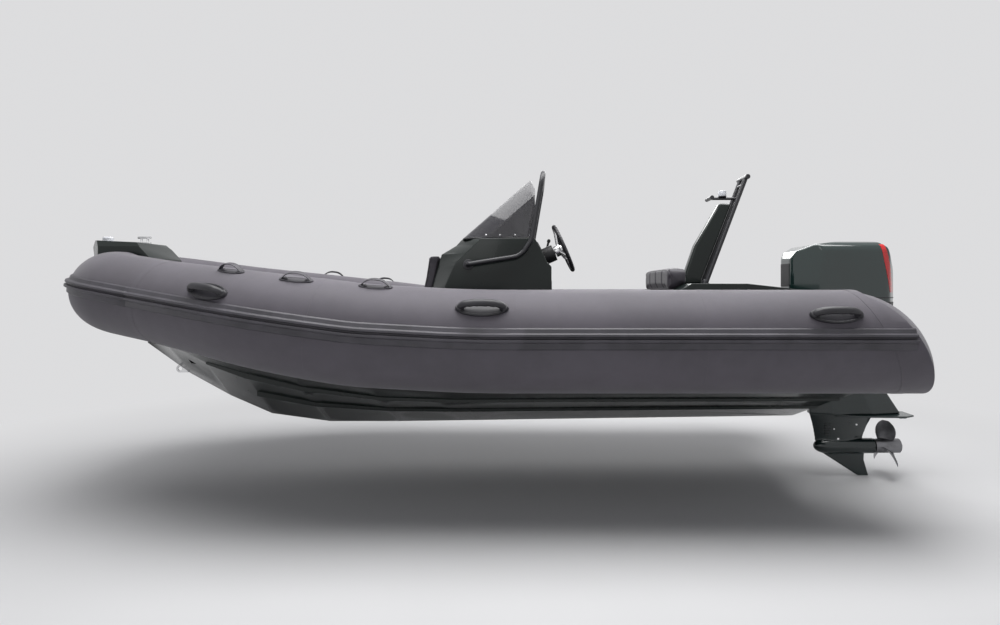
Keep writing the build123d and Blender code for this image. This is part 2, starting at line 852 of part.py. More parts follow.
def gauge_panel(console):
    """The instrument panel on the dash, with the rims of its dials."""
    plane = Plane(origin=(20, 0, 912), x_dir=(0, 1, 0), z_dir=DASH_NORMAL)
    panel = plane * Pos(0, 0, 3) * Box(300, 76, 12)
    for y in (-104, 104):
        panel += plane * Pos(y, 0, 9) * Cylinder(34, 12)
        panel -= plane * Pos(y, 0, 14) * Cylinder(29, 8)
    helm = extrude(wheel_plane(HELM_BACK) * Circle(HELM_R + SKIN_GAP), HELM_BACK)
    return panel - console - helm


# Mast


def mast_fin():
    """The moulded fin that carries the mast."""
    outline = (
        (1040.0, AFT_TOP_Z),
        (1058.0, 744.0),
        (1122.0, 929.0),
        (1226.0, 1106.0),
        (1295.0, 1226.0),
        (1380.0, 1220.0),
        (1170.0, 690.0),
        (1168.0, AFT_TOP_Z),
    )
    return side_profile(outline, 44.0)


def mast_frame():
    """The two posts with the tow bar and the lower bar."""
    frame = None
    for side in (-1, 1):
        y = side * MAST_POST_HALF
        post = rod((1176, y, AFT_TOP_Z - 40), (1472, y, 1398), MAST_TUBE_R)
        post -= block(1100, 1300, y - 40, y + 40, AFT_TOP_Z - 90, AFT_TOP_Z)
        frame = post if frame is None else frame + post
    frame += rod((1474, -100, 1402), (1474, 100, 1402), 17)
    frame += rod((1455, -MAST_POST_HALF, 1350), (1455, MAST_POST_HALF, 1350), 12)
    frame += rod((1235, -70, 1262), (1235, 70, 1262), 14)
    frame += rod((1235, 0, 1262), (1424, 0, 1262), 10)
    frame += rod((1424, -MAST_POST_HALF, 1262), (1424, MAST_POST_HALF, 1262), 10)
    return frame


def mast_light():
    """The white light on the lower bar's arm."""
    arm_top = 1262.0 + 10.0
    return Pos(1325, 0, arm_top + SEAT_GAP + 22) * Cylinder(28, 44)


# Engine


def clamp_bracket():
    """The two plates that hook over the transom, with the tilt tube."""
    low = 60.0
    inside = TRANSOM_TOP_X - TRANSOM_T - SKIN_GAP
    top = TRANSOM_TOP_Z + SKIN_GAP
    outline = (
        (inside, 225.0),
        (inside, top),
        (transom_x(top) + SKIN_GAP, top),
        (transom_x(low) + SKIN_GAP, low),
        (transom_x(low) + 25, low),
        (1958.0, 300.0),
        (1900.0, TILT_Z + 30.0),
        (TILT_X, TILT_Z + 38.0),
        (TILT_X - 34.0, TILT_Z + 15.0),
        (inside - 22.0, 300.0),
        (inside - 22.0, 225.0),
    )
    bracket = rod((TILT_X, -CLAMP_IN - 5, TILT_Z), (TILT_X, CLAMP_IN + 5, TILT_Z), TILT_TUBE_R)
    for side in (-1, 1):
        bracket += side_profile(outline, CLAMP_T / 2, side * (CLAMP_IN + CLAMP_T / 2))
    return bracket


def swivel_bracket():
    """The bracket that tilts on the tube and carries the steering pivot."""
    wide = CLAMP_IN - 6
    body = rod((TILT_X, -wide, TILT_Z), (TILT_X, wide, TILT_Z), 32)
    arm = (
        (TILT_X, TILT_Z - 28.0),
        (STEER_X, 290.0),
        (STEER_X, 430.0),
        (TILT_X + 10.0, TILT_Z + 31.0),
    )
    body += side_profile(arm, 60.0)
    body += rod((STEER_X, 0, 40), (STEER_X, 0, 430), 43)
    body -= rod((TILT_X, -wide - 1, TILT_Z), (TILT_X, wide + 1, TILT_Z), TILT_TUBE_R + PIN_CLEAR)
    return body - rod((STEER_X, 0, 30), (STEER_X, 0, 440), PIVOT_R + PIN_CLEAR)


def engine_leg():
    """The midsection from the cowl down to the plate, with the steering pivot."""
    foot = PLATE_Z + PLATE_T / 2 + SKIN_GAP
    # z, front x, rear x, half width
    levels = (
        (foot, 1934.0, 2577.0, 74.0),
        (-106.0, 1936.0, 2478.0, 72.0),
        (0.0, 1940.0, 2440.0, 70.0),
        (30.0, 2045.0, 2420.0, 70.0),
        (300.0, 2045.0, 2400.0, 78.0),
        (PAN_Z, 2045.0, 2430.0, 95.0),
    )
    sections = []
    for z, front, rear, half in levels:
        chord = rear - front
        points = (
            (front, -half * 0.35),
            (front + chord * 0.22, -half),
            (front + chord * 0.65, -half),
            (rear, -half * 0.25),
            (rear, half * 0.25),
            (front + chord * 0.65, half),
            (front + chord * 0.22, half),
            (front, half * 0.35),
        )
        sections.append(Pos(0, 0, z) * make_face(Polyline(*points, close=True)))
    leg = loft(sections, ruled=True)
    return leg + rod((STEER_X, 0, -5), (STEER_X, 0, PAN_Z), PIVOT_R)


def engine_pan():
    """The apron under the cover, which the leg hangs from."""
    front = COWL_FRONT_X + 155
    rear = COWL_REAR_X - 55
    outline = (
        (front, PAN_Z + 14),
        (front + 35, PAN_Z + SEAT_GAP),
        (rear - 55, PAN_Z + SEAT_GAP),
        (rear, PAN_Z + 10),
        (rear, COWL_BOTTOM_Z - SKIN_GAP),
        (front, COWL_BOTTOM_Z - SKIN_GAP),
    )
    pan = side_profile(outline, 150.0)
    corners = pan.edges().filter_by(Axis.Z)
    return chamfer(corners, 50)


def lens(chord, thickness):
    """A thin pointed section with two arcs, centred on its chord."""
    half = chord / 2
    left, right = (-half, 0), (half, 0)
    return make_face(
        [
            ThreePointArc(left, (0, thickness / 2), right),
            ThreePointArc(right, (0, -thickness / 2), left),
        ]
    )


def gearcase():
    """The plate, strut, torpedo and skeg, with the shaft's bore."""
    plate_top = PLATE_Z + PLATE_T / 2
    plate = plan_profile(
        (
            (2105.0, -60.0),
            (2240.0, -105.0),
            (2560.0, -120.0),
            (2640.0, -70.0),
            (2640.0, 70.0),
            (2560.0, 120.0),
            (2240.0, 105.0),
            (2105.0, 60.0),
        ),
        plate_top - PLATE_T,
        plate_top,
    )
    # z, x of the leading edge, x of the trailing edge, thickness
    levels = (
        (plate_top, 1940.0, 2400.0, 96.0),
        (-385.0, 1972.0, 2330.0, 72.0),
        (PROP_Z, 1985.0, 2300.0, 60.0),
    )
    sections = []
    for z, lead, trail, thick in levels:
        face = lens(trail - lead, thick)
        sections.append(Pos((lead + trail) / 2, 0, z) * face)
    case = plate + loft(sections)
    body_length = TORPEDO_END_X - 2060
    case += rod((2060, 0, PROP_Z), (2060 + body_length, 0, PROP_Z), TORPEDO_R)
    nose = Pos(2060, 0, PROP_Z) * scale(Sphere(TORPEDO_R), (1.7, 1, 1))
    case += nose
    skeg = side_profile(
        (
            (1990.0, PROP_Z),
            (1990.0, -508.0),
            (2280.0, -694.0),
            (2355.0, -694.0),
            (2322.0, -580.0),
            (2330.0, PROP_Z),
        ),
        8.0,
    )
    case += skeg
    depth = 90.0
    return case - rod((TORPEDO_END_X - depth, 0, PROP_Z), (2600, 0, PROP_Z), SHAFT_R + PIN_CLEAR)


def trim_tab():
    """The small tab under the plate."""
    top = PLATE_Z - PLATE_T / 2 - SKIN_GAP
    return block(2580, 2625, -9, 9, top - 27, top)


def blade(turn):
    """One propeller blade, lofted through turned sections."""
    # radius, chord, thickness
    sections = []
    for radius, chord, thick in (
        (PROP_HUB_R - 12, 96.0, 10.0),
        (92.0, 138.0, 8.0),
        (142.0, 128.0, 5.0),
        (PROP_R, 46.0, 2.5),
    ):
        pitch = math.degrees(math.atan(PROP_PITCH / (2 * math.pi * radius)))
        plane = Plane(origin=(PROP_X, 0, PROP_Z + radius), x_dir=(0, 1, 0), z_dir=(0, 0, 1))
        sections.append(plane * Rot(0, 0, pitch) * lens(chord, thick))
    solid = loft(sections)
    return solid.rotate(Axis((0, 0, PROP_Z), (1, 0, 0)), turn)


def propeller():
    """The three-blade propeller with its shaft."""
    front = TORPEDO_END_X + 8
    back = 2572.0
    prop = rod((front, 0, PROP_Z), (back, 0, PROP_Z), PROP_HUB_R)
    prop += rod((TORPEDO_END_X - 80, 0, PROP_Z), (front + 10, 0, PROP_Z), SHAFT_R)
    for turn in (0, 120, 240):
        prop += blade(turn)
    return prop


def cowl_form(inset):
    """The engine cover's outer form, shrunk by an inset."""
    front, rear = COWL_FRONT_X + inset, COWL_REAR_X - inset
    top, bottom = COWL_TOP_Z - inset, COWL_BOTTOM_Z + inset
    # x, z along the cover's side
    outline = (
        (front, bottom),
        (front, top - 120),
        (front + 32, top - 66),
        (front + 125, top - 24),
        (front + 275, top - 4),
        (front + 400, top),
        (rear - 128, top - 5),
        (rear - 82, top - 46),
        (rear - 42, top - 125),
        (rear - 12, top - 190),
        (rear, top - 270),
        (rear, top - 360),
        (rear - 18, bottom),
    )
    half = COWL_HALF_W - inset
    nose, tail = COWL_NOSE_HALF_W - inset / 2, COWL_TAIL_HALF_W - inset / 2
    flank = ((front, nose), (front + 160, half), (rear - 75, half), (rear, tail))
    plan = flank + tuple((x, -y) for x, y in reversed(flank))
    face = make_face(Polyline(*plan, close=True))
    if not inset:
        face = fillet(face.vertices(), COWL_CORNER_R)
    column = extrude(Pos(0, 0, bottom - 50) * face, 600)
    # y, z across the cover, with chamfered shoulders and a slight crown
    shoulder = (
        (half, bottom - 50),
        (half, top - 64),
        (half - 14, top - 34),
        (half - 42, top - 12),
        (half - 80, top - 3),
        (0, top + 1),
    )
    across = shoulder + tuple((-y, z) for y, z in reversed(shoulder[:-1]))
    plane = Plane(origin=(front - 50, 0, 0), x_dir=(0, 1, 0), z_dir=(1, 0, 0))
    section = plane * make_face(Polyline(*across, close=True))
    return side_profile(outline, half) & column & extrude(section, 900)


def cowl():
    """The engine's moulded cover, a shell round the engine."""
    return cowl_form(0.0) - cowl_form(COWL_T * 3)


def engine_block():
    """The engine itself, as one plain block inside the cover."""
    front, rear = COWL_FRONT_X + 100, COWL_REAR_X - 150
    low = COWL_BOTTOM_Z + COWL_T * 3 + SKIN_GAP
    return block(front, rear, -128, 128, low, COWL_TOP_Z - 130)


def eye_plate(x, y, z, out, turn):
    """A flat lug with a round eye, standing out from the face at x towards out in X.

    It stands on edge, or lies flat when turned by 90 degrees.
    """
    outer = EYE_R + EYE_WALL
    lug = Box(EYE_REACH + EYE_SINK, EYE_T, 2 * outer)
    lug = Pos(-out * (EYE_REACH + EYE_SINK) / 2, 0, 0) * lug
    lug += Rot(90, 0, 0) * Cylinder(outer, EYE_T)
    lug -= Rot(90, 0, 0) * Cylinder(EYE_R, 3 * EYE_T)
    return Pos(x + out * EYE_REACH, y, z) * Rot(turn, 0, 0) * lug


def transom_x(z):
    """X of the raked transom's outside at a height."""
    return TRANSOM_TOP_X + (z - TRANSOM_TOP_Z) * math.tan(math.radians(TRANSOM_RAKE))


def main():
    """Build and write every node."""
    space = collar_space(SKIN_GAP)
    for side, label in ((-1, "port"), (1, "starboard")):
        export(collar_side(side), "collar_" + label)
        export(cone(side), "cone_" + label)
        export(side_strake(side), "rub_strake_" + label)
        grips = [
            grip_handle(x, side, angle, (276.0, 100.0), (206.0, 44.0), 17.0) - space
            for x, angle in SIDE_HANDLES
        ]
        export(Compound(grips), "side_handles_" + label)
        loops = [
            grip_handle(x, side, angle, (190.0, 62.0), (155.0, 42.0), 9.0) - space
            for x, angle in TOP_HANDLES
        ]
        export(Compound(loops), "top_handles_" + label)
    export(collar_bow(), "collar_bow")
    export(bow_strake(), "rub_strake_bow")
    hull = hull_shell(space)
    export(hull, "hull_shell")
    export(eye_plate(BOW_EYE_X, 0, BOW_EYE_Z, -1, 0) - hull, "bow_eye")
    eyes = [
        eye_plate(transom_x(TRANSOM_EYE_Z), y, TRANSOM_EYE_Z, 1, 90) - hull
        for y in (-TRANSOM_EYE_Y, TRANSOM_EYE_Y)
    ]
    export(Compound(eyes), "transom_eyes")
    export(cockpit_deck(space), "cockpit_deck")
    export(bow_deck(space), "bow_deck")
    export(bow_hatch(), "bow_hatch")
    export(bow_step(space), "bow_step")
    export(bow_light(), "bow_light")
    export(bow_cleat(), "bow_cleat")
    export(bench_base(), "bench_base")
    export(bench_lid(), "bench_lid")
    export(bench_cushion(), "bench_cushion")
    export(backrest_pad(), "backrest_pad")
    export(aft_deck(), "aft_deck")
    console = console_body()
    export(console, "console_body")
    export(console_pad(), "console_pad")
    export(windscreen(), "windscreen")
    export(console_rail(), "console_rail")
    export(helm_hub(console), "helm_hub")
    export(steering_wheel(), "steering_wheel")
    export(wheel_rim(), "wheel_rim")
    export(throttle_control(console), "throttle_control")
    export(gauge_panel(console), "gauge_panel")
    export(mast_fin(), "mast_fin")
    export(mast_frame(), "mast_frame")
    export(mast_light(), "mast_light")
    export(clamp_bracket(), "clamp_bracket")
    export(swivel_bracket(), "swivel_bracket")
    export(engine_leg(), "engine_leg")
    export(engine_pan(), "engine_pan")
    export(gearcase(), "gearcase")
    export(trim_tab(), "trim_tab")
    export(cowl(), "cowl")
    export(engine_block(), "engine_block")
    export(propeller(), "propeller")


main()
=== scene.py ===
"""Looks of a rigid inflatable boat with an outboard engine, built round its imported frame.

Metres, Z up, the bow points along -X and port is -Y. Z = 0 is the waterline.
"""

from __future__ import annotations

import json
import logging
import math
from collections.abc import Callable, Iterator, Sequence
from contextlib import contextmanager
from dataclasses import dataclass
from enum import Enum
from typing import Any

import bmesh
import bpy
from mathutils import Matrix, Vector
from mathutils.bvhtree import BVHTree

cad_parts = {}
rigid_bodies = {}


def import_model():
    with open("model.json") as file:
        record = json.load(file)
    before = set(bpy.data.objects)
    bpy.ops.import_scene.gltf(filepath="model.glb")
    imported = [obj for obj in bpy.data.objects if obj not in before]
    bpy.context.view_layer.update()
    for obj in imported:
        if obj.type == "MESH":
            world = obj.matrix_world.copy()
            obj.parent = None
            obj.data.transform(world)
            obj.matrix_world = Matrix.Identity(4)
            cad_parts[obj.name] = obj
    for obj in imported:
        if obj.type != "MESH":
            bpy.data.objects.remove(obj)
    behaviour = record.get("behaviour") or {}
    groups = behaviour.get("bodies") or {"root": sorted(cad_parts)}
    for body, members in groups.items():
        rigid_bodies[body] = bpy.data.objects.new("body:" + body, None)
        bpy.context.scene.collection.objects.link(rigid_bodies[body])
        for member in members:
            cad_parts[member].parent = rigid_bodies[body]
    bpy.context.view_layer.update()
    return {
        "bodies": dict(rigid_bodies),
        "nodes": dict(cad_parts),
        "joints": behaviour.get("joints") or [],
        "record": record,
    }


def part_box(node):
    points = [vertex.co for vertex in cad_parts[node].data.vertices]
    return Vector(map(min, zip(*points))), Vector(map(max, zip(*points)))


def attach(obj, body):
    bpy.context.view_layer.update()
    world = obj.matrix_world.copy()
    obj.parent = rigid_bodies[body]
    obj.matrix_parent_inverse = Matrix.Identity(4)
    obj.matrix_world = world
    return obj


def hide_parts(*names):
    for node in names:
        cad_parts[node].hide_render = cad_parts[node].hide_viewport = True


logging.basicConfig(level=logging.INFO, format="%(message)s")
LOG = logging.getLogger("boat")

Colour = tuple[float, float, float]
Point = tuple[float, float, float]
Flat = tuple[float, float]
Planes = Sequence[tuple[Point, Point]]


def grey_of(red: float, green: float, blue: float) -> Colour:
    """Linear colour of an sRGB colour given as 0 to 255."""

    def linear(value: float) -> float:
        """Linear value of one channel."""
        share = value / 255.0
        if share <= 0.04045:
            return share / 12.92
        return ((share + 0.055) / 1.055) ** 2.4

    return (linear(red), linear(green), linear(blue))


def scaled(colour: Colour, share: float) -> Colour:
    """A colour made lighter or darker by a factor."""
    return tuple(channel * share for channel in colour)


class Value:
    """One output of a shader node, which Python's operators add Math nodes to."""

    def __init__(self, graph: Graph, socket: bpy.types.NodeSocket) -> None:
        """Keep the socket and the graph that it is in."""
        self.graph = graph
        self.socket = socket

    def _math(self, operation: str, *values: Any) -> Value:
        """A Math node on the given values."""
        node = self.graph.node("ShaderNodeMath", {"operation": operation}, dict(enumerate(values)))
        return Value(self.graph, node.outputs[0])

    def __add__(self, other: Any) -> Value:
        """Sum."""
        return self._math("ADD", self, other)

    __radd__ = __add__

    def __sub__(self, other: Any) -> Value:
        """Difference."""
        return self._math("SUBTRACT", self, other)

    def __mul__(self, other: Any) -> Value:
        """Product."""
        return self._math("MULTIPLY", self, other)

    def __pow__(self, other: Any) -> Value:
        """Power."""
        return self._math("POWER", self, other)

    def sine(self) -> Value:
        """Sine of an angle in radians."""
        return self._math("SINE", self)

    def below(self, limit: Any) -> Value:
        """One where the value is under a limit, else nought."""
        return self._math("LESS_THAN", self, limit)

    def spread(self, low: float, high: float) -> Value:
        """The value clamped and spread from nought at low to one at high."""
        settings = {"clamp": True, "interpolation_type": "SMOOTHSTEP"}
        node = self.graph.node(
            "ShaderNodeMapRange", settings, {"Value": self, "From Min": low, "From Max": high}
        )
        return Value(self.graph, node.outputs["Result"])


class Graph:
    """A material's node tree with one Principled shader."""

    def __init__(self, name: str) -> None:
        """Start an empty material.

        Args:
            name: Name of the finish.
        """
        self.material = bpy.data.materials.new(name)
        self.material.use_nodes = True
        self.tree = self.material.node_tree
        self.tree.nodes.clear()
        self.output = self.tree.nodes.new("ShaderNodeOutputMaterial")
        self.shader = self.tree.nodes.new("ShaderNodeBsdfPrincipled")
        self.tree.links.new(self.shader.outputs[0], self.output.inputs["Surface"])
        self._place: dict[str, Value] = {}

    def node(
        self,
        kind: str,
        settings: dict[str, Any] | None = None,
        inputs: dict[Any, Any] | None = None,
    ) -> bpy.types.Node:
        """Add a node, set it up and feed its sockets.

        Args:
            kind: Blender's name of the node's type.
            settings: Attributes to set first.
            inputs: Numbers, colours or links for sockets, by name or index.

        Returns:
            The new node.
        """
        node = self.tree.nodes.new(kind)
        for name, setting in (settings or {}).items():
            setattr(node, name, setting)
        for key, value in (inputs or {}).items():
            self.feed(node.inputs[key], value)
        return node

    def feed(self, socket: bpy.types.NodeSocket, value: Any) -> None:
        """Link a value to a socket, or set the socket to a number or colour."""
        if isinstance(value, Value):
            self.tree.links.new(value.socket, socket)
        elif isinstance(value, (tuple, list)) and socket.type == "RGBA" and len(value) == 3:
            socket.default_value = (*value, 1.0)
        else:
            socket.default_value = value

    def place(self) -> Value:
        """Object coordinates, which are the boat's own metres."""
        if "place" not in self._place:
            node = self.node("ShaderNodeTexCoord")
            self._place["place"] = Value(self, node.outputs["Object"])
        return self._place["place"]

    def axis(self, name: str) -> Value:
        """One of X, Y and Z of the place."""
        if name not in self._place:
            node = self.node("ShaderNodeSeparateXYZ", None, {0: self.place()})
            for axis in "XYZ":
                self._place[axis] = Value(self, node.outputs[axis])
        return self._place[name]

    def noise(
        self, scale: float, detail: float = 3.0, stretch: Point = (1, 1, 1), rough: float = 0.5
    ) -> Value:
        """Soft noise of about the given number of features per metre."""
        mapping = self.node("ShaderNodeMapping", None, {"Vector": self.place(), "Scale": stretch})
        inputs = {
            "Vector": Value(self, mapping.outputs[0]),
            "Scale": scale,
            "Detail": detail,
            "Roughness": rough,
        }
        return Value(self, self.node("ShaderNodeTexNoise", None, inputs).outputs["Fac"])

    def cells(self, scale: float, feature: str = "F1") -> Value:
        """Distances of a cell pattern, for leather and pebbled plastic."""
        node = self.node(
            "ShaderNodeTexVoronoi", {"feature": feature}, {"Vector": self.place(), "Scale": scale}
        )
        return Value(self, node.outputs["Distance"])

    def mix(self, share: Any, first: Any, second: Any) -> Value:
        """A colour part way from the first to the second."""
        settings = {"data_type": "RGBA", "blend_type": "MIX"}
        node = self.node("ShaderNodeMix", settings)
        self.feed(node.inputs[0], share)
        self.feed(node.inputs[6], first)
        self.feed(node.inputs[7], second)
        return Value(self, node.outputs[2])

    def bump(self, height: Value, depth: float, under: Value | None = None) -> Value:
        """A normal bumped by a height that runs from nought to one.

        Args:
            height: The height map.
            depth: Metres between its low and high places.
            under: A normal that this bump is laid on.

        Returns:
            The bumped normal.
        """
        inputs: dict[Any, Any] = {"Height": height, "Distance": depth, "Strength": 1.0}
        if under is not None:
            inputs["Normal"] = under
        return Value(self, self.node("ShaderNodeBump", None, inputs).outputs[0])

    def finish(self, **sockets: Any) -> bpy.types.Material:
        """Feed the shader's sockets, named with underscores, and give the material."""
        for name, value in sockets.items():
            title = name.replace("_", " ").title().replace("Ior", "IOR")
            self.feed(self.shader.inputs[title], value)
        return self.material


# Finishes


class Grain(Enum):
    """The surface texture that a moulded plastic or rubber has."""

    SMOOTH = "smooth"
    PEBBLED = "pebbled"
    RIBBED = "ribbed"


@dataclass(frozen=True)
class TubeFabric:
    """Matte coated fabric of the collar, with its weave, soft mottling and handling marks."""

    name: str
    colour: Colour
    weave: float = 0.0016

    def make(self) -> bpy.types.Material:
        """The material."""
        g = Graph(self.name)
        threads = 2 * math.pi / self.weave
        warp = (g.axis("X") * threads).sine()
        weft = ((g.axis("Z") + g.axis("Y")) * threads).sine()
        weave = warp * weft * 0.5 + 0.5
        mottle = g.noise(2.2, 5.0, (1, 1, 1), 0.6)
        cloudy = g.noise(14.0, 4.0)
        dust = g.noise(90.0, 2.0)
        light = scaled(self.colour, 1.16)
        dark = scaled(self.colour, 0.86)
        base = g.mix((mottle * 0.7 + cloudy * 0.3).spread(0.3, 0.7), dark, light)
        worn = scaled(self.colour, 1.5)
        scuffs = g.noise(26.0, 4.0, (0.12, 1.0, 1.0), 0.7).spread(0.62, 0.78)
        base = g.mix(scuffs * dust.spread(0.35, 0.75) * 0.25, base, worn)
        normal = g.bump(weave, 0.00006)
        normal = g.bump(mottle, 0.0016, normal)
        rough = 0.62 + cloudy * 0.12 - scuffs * 0.08
        return g.finish(base_color=base, roughness=rough, normal=normal, sheen_weight=0.25)


@dataclass(frozen=True)
class Moulding:
    """Moulded rubber or plastic, with its grain and random lighter and darker patches."""

    name: str
    colour: Colour
    roughness: float = 0.5
    grain: Grain = Grain.SMOOTH
    depth: float = 0.0002

    def make(self) -> bpy.types.Material:
        """The material."""
        g = Graph(self.name)
        patches = g.noise(7.0, 4.0)
        light = scaled(self.colour, 1.25)
        dark = scaled(self.colour, 0.8)
        base = g.mix(patches.spread(0.32, 0.68), dark, light)
        if self.grain is Grain.PEBBLED:
            height = g.cells(520.0, "SMOOTH_F1")
        elif self.grain is Grain.RIBBED:
            height = (g.axis("Z") * (2 * math.pi / 0.004)).sine() * 0.5 + 0.5
        else:
            height = g.noise(240.0, 2.0)
        normal = g.bump(height, self.depth)
        rough = self.roughness - 0.06 + patches * 0.12
        return g.finish(base_color=base, roughness=rough, normal=normal)


@dataclass(frozen=True)
class GlossCoat:
    """Gelcoat or baked paint under a clear coat, with the faintest ripple and dust."""

    name: str
    colour: Colour
    roughness: float = 0.12
    ripple: float = 0.0004
    painted_glints: float = 0.0
    coat: float = 0.6
    shine: float = 0.5

    def make(self) -> bpy.types.Material:
        """The material."""
        g = Graph(self.name)
        broad = g.noise(1.8, 3.0)
        fine = g.noise(140.0, 2.0)
        light = scaled(self.colour, 1.3)
        base = g.mix(broad.spread(0.3, 0.7), self.colour, light)
        # metallic flecks painted as bright glints into the base colour: painted highlights
        if self.painted_glints:
            glint = tuple(channel * 5.0 + 0.01 for channel in self.colour)
            base = g.mix(g.cells(2600.0).below(0.16) * self.painted_glints, base, glint)
        normal = g.bump(broad, self.ripple)
        haze = g.noise(9.0, 5.0, (1, 1, 1), 0.65).spread(0.45, 0.8)
        rough = self.roughness + haze * 0.08 + fine * 0.02
        return g.finish(
            base_color=base,
            roughness=rough,
            normal=normal,
            coat_weight=self.coat,
            coat_roughness=0.06,
            specular_ior_level=self.shine,
        )


@dataclass(frozen=True)
class GripDeck:
    """Moulded deck with a fine diamond grip, painted shade in its hollows, painted light on its
    stud tops, and random dirt.
    """

    name: str
    colour: Colour
    pitch: float = 0.012

    def make(self) -> bpy.types.Material:
        """The material."""
        g = Graph(self.name)
        turn = 2 * math.pi / self.pitch
        first = ((g.axis("X") + g.axis("Y")) * turn).sine()
        second = ((g.axis("X") - g.axis("Y")) * turn).sine()
        studs = (first * second).spread(0.1, 0.6)
        dirt = g.noise(5.0, 5.0)
        light = scaled(self.colour, 1.5)
        # painted light and shade: the stud tops lighter, the hollows darker; the dirt noise adds
        # random tone
        base = g.mix(studs * 0.7 + dirt * 0.3, self.colour, light)
        normal = g.bump(studs, 0.0006)
        rough = 0.55 + dirt * 0.2 - studs * 0.1
        return g.finish(base_color=base, roughness=rough, normal=normal)


@dataclass(frozen=True)
class Vinyl:
    """Marine vinyl with a leather grain, creases and a soft sheen."""

    name: str
    colour: Colour

    def make(self) -> bpy.types.Material:
        """The material."""
        g = Graph(self.name)
        grain = g.cells(430.0, "SMOOTH_F1")
        crease = g.noise(22.0, 4.0, (1.0, 0.4, 1.0))
        tone = g.noise(6.0, 3.0)
        light = scaled(self.colour, 1.3)
        base = g.mix(tone.spread(0.3, 0.7), self.colour, light)
        normal = g.bump(grain, 0.00035)
        normal = g.bump(crease, 0.0012, normal)
        rough = 0.42 + grain * 0.2
        return g.finish(base_color=base, roughness=rough, normal=normal, sheen_weight=0.15)


@dataclass(frozen=True)
class Metal:
    """Bare metal, polished, brushed or cast."""

    name: str
    colour: Colour
    roughness: float = 0.2
    grain: Point = (1.0, 1.0, 1.0)
    depth: float = 0.00004

    def make(self) -> bpy.types.Material:
        """The material."""
        g = Graph(self.name)
        lines = g.noise(420.0, 2.0, self.grain)
        stain = g.noise(16.0, 4.0)
        dull = scaled(self.colour, 0.72)
        base = g.mix(stain.spread(0.4, 0.75), self.colour, dull)
        rough = self.roughness + lines * 0.1 + stain.spread(0.5, 0.8) * 0.15
        return g.finish(
            base_color=base, roughness=rough, normal=g.bump(lines, self.depth), metallic=1.0
        )


@dataclass(frozen=True)
class SmokedGlass:
    """Smoked acrylic, dark and clear, with faint wiping marks."""

    name: str
    colour: Colour
    alpha: float = 0.55

    def make(self) -> bpy.types.Material:
        """The material."""
        g = Graph(self.name)
        wipes = g.noise(5.0, 4.0, (1.0, 1.0, 0.25))
        rough = 0.05 + wipes.spread(0.5, 0.8) * 0.1
        return g.finish(base_color=self.colour, roughness=rough, alpha=self.alpha, coat_weight=0.4)


@dataclass(frozen=True)
class LampLens:
    """White lamp moulding with a prismatic lens."""

    name: str
    colour: Colour

    def make(self) -> bpy.types.Material:
        """The material."""
        g = Graph(self.name)
        prisms = (g.axis("Z") * (2 * math.pi / 0.004)).sine() * 0.5 + 0.5
        cloudy = g.noise(60.0, 2.0)
        shade = scaled(self.colour, 0.85)
        base = g.mix(cloudy.spread(0.35, 0.7), self.colour, shade)
        rough = 0.22 + cloudy * 0.08
        return g.finish(base_color=base, roughness=rough, normal=g.bump(prisms, 0.0004))


class Palette:
    """Every finish of the boat, made once; the extra ones are no slots of the record."""

    EXTRA = ("accent_red",)

    def __init__(self) -> None:
        """Make the materials under their slots' names."""
        finishes = (
            TubeFabric("tube_fabric", grey_of(84, 80, 88)),
            TubeFabric("cone_fabric", grey_of(84, 80, 88)),
            Moulding("strake_rubber", grey_of(68, 66, 72), 0.5),
            Moulding("handle_rubber", grey_of(38, 37, 42), 0.42, Grain.PEBBLED, 0.00008),
            GlossCoat("hull_gelcoat", grey_of(20, 27, 25), 0.2, 0.0004, 0.0, 0.12, 0.3),
            GripDeck("deck_grip", grey_of(46, 50, 50)),
            Moulding("black_plastic", grey_of(32, 32, 34), 0.48, Grain.PEBBLED),
            Vinyl("cushion_vinyl", grey_of(46, 43, 50)),
            SmokedGlass("smoked_acrylic", grey_of(36, 34, 44)),
            Moulding("rail_black", grey_of(38, 38, 42), 0.36),
            Metal("stainless", (0.72, 0.72, 0.73), 0.14),
            LampLens("lamp_white", grey_of(232, 234, 240)),
            # cowl paint with painted glints in its base colour
            GlossCoat("cowl_paint", grey_of(20, 40, 38), 0.08, 0.0002, 0.4, 0.8),
            GlossCoat("accent_red", grey_of(196, 20, 24), 0.12, 0.0002),
            GlossCoat("leg_paint", grey_of(18, 32, 32), 0.2, 0.0003, 0.0, 0.3),
            Moulding("bracket_paint", grey_of(34, 36, 37), 0.4),
            Metal("engine_metal", (0.2, 0.2, 0.21), 0.5, (1, 1, 1), 0.0003),
            Metal("tab_zinc", (0.55, 0.56, 0.58), 0.5, (1, 1, 1), 0.0004),
            Metal("prop_steel", (0.2, 0.2, 0.21), 0.3, (0.2, 1, 1)),
        )
        self._made = {finish.name: finish.make() for finish in finishes}

    def dress(self, piece: bpy.types.Object, slot: str) -> None:
        piece.data.materials.clear()
        piece.data.materials.append(self._made[slot])
        slot not in self.EXTRA


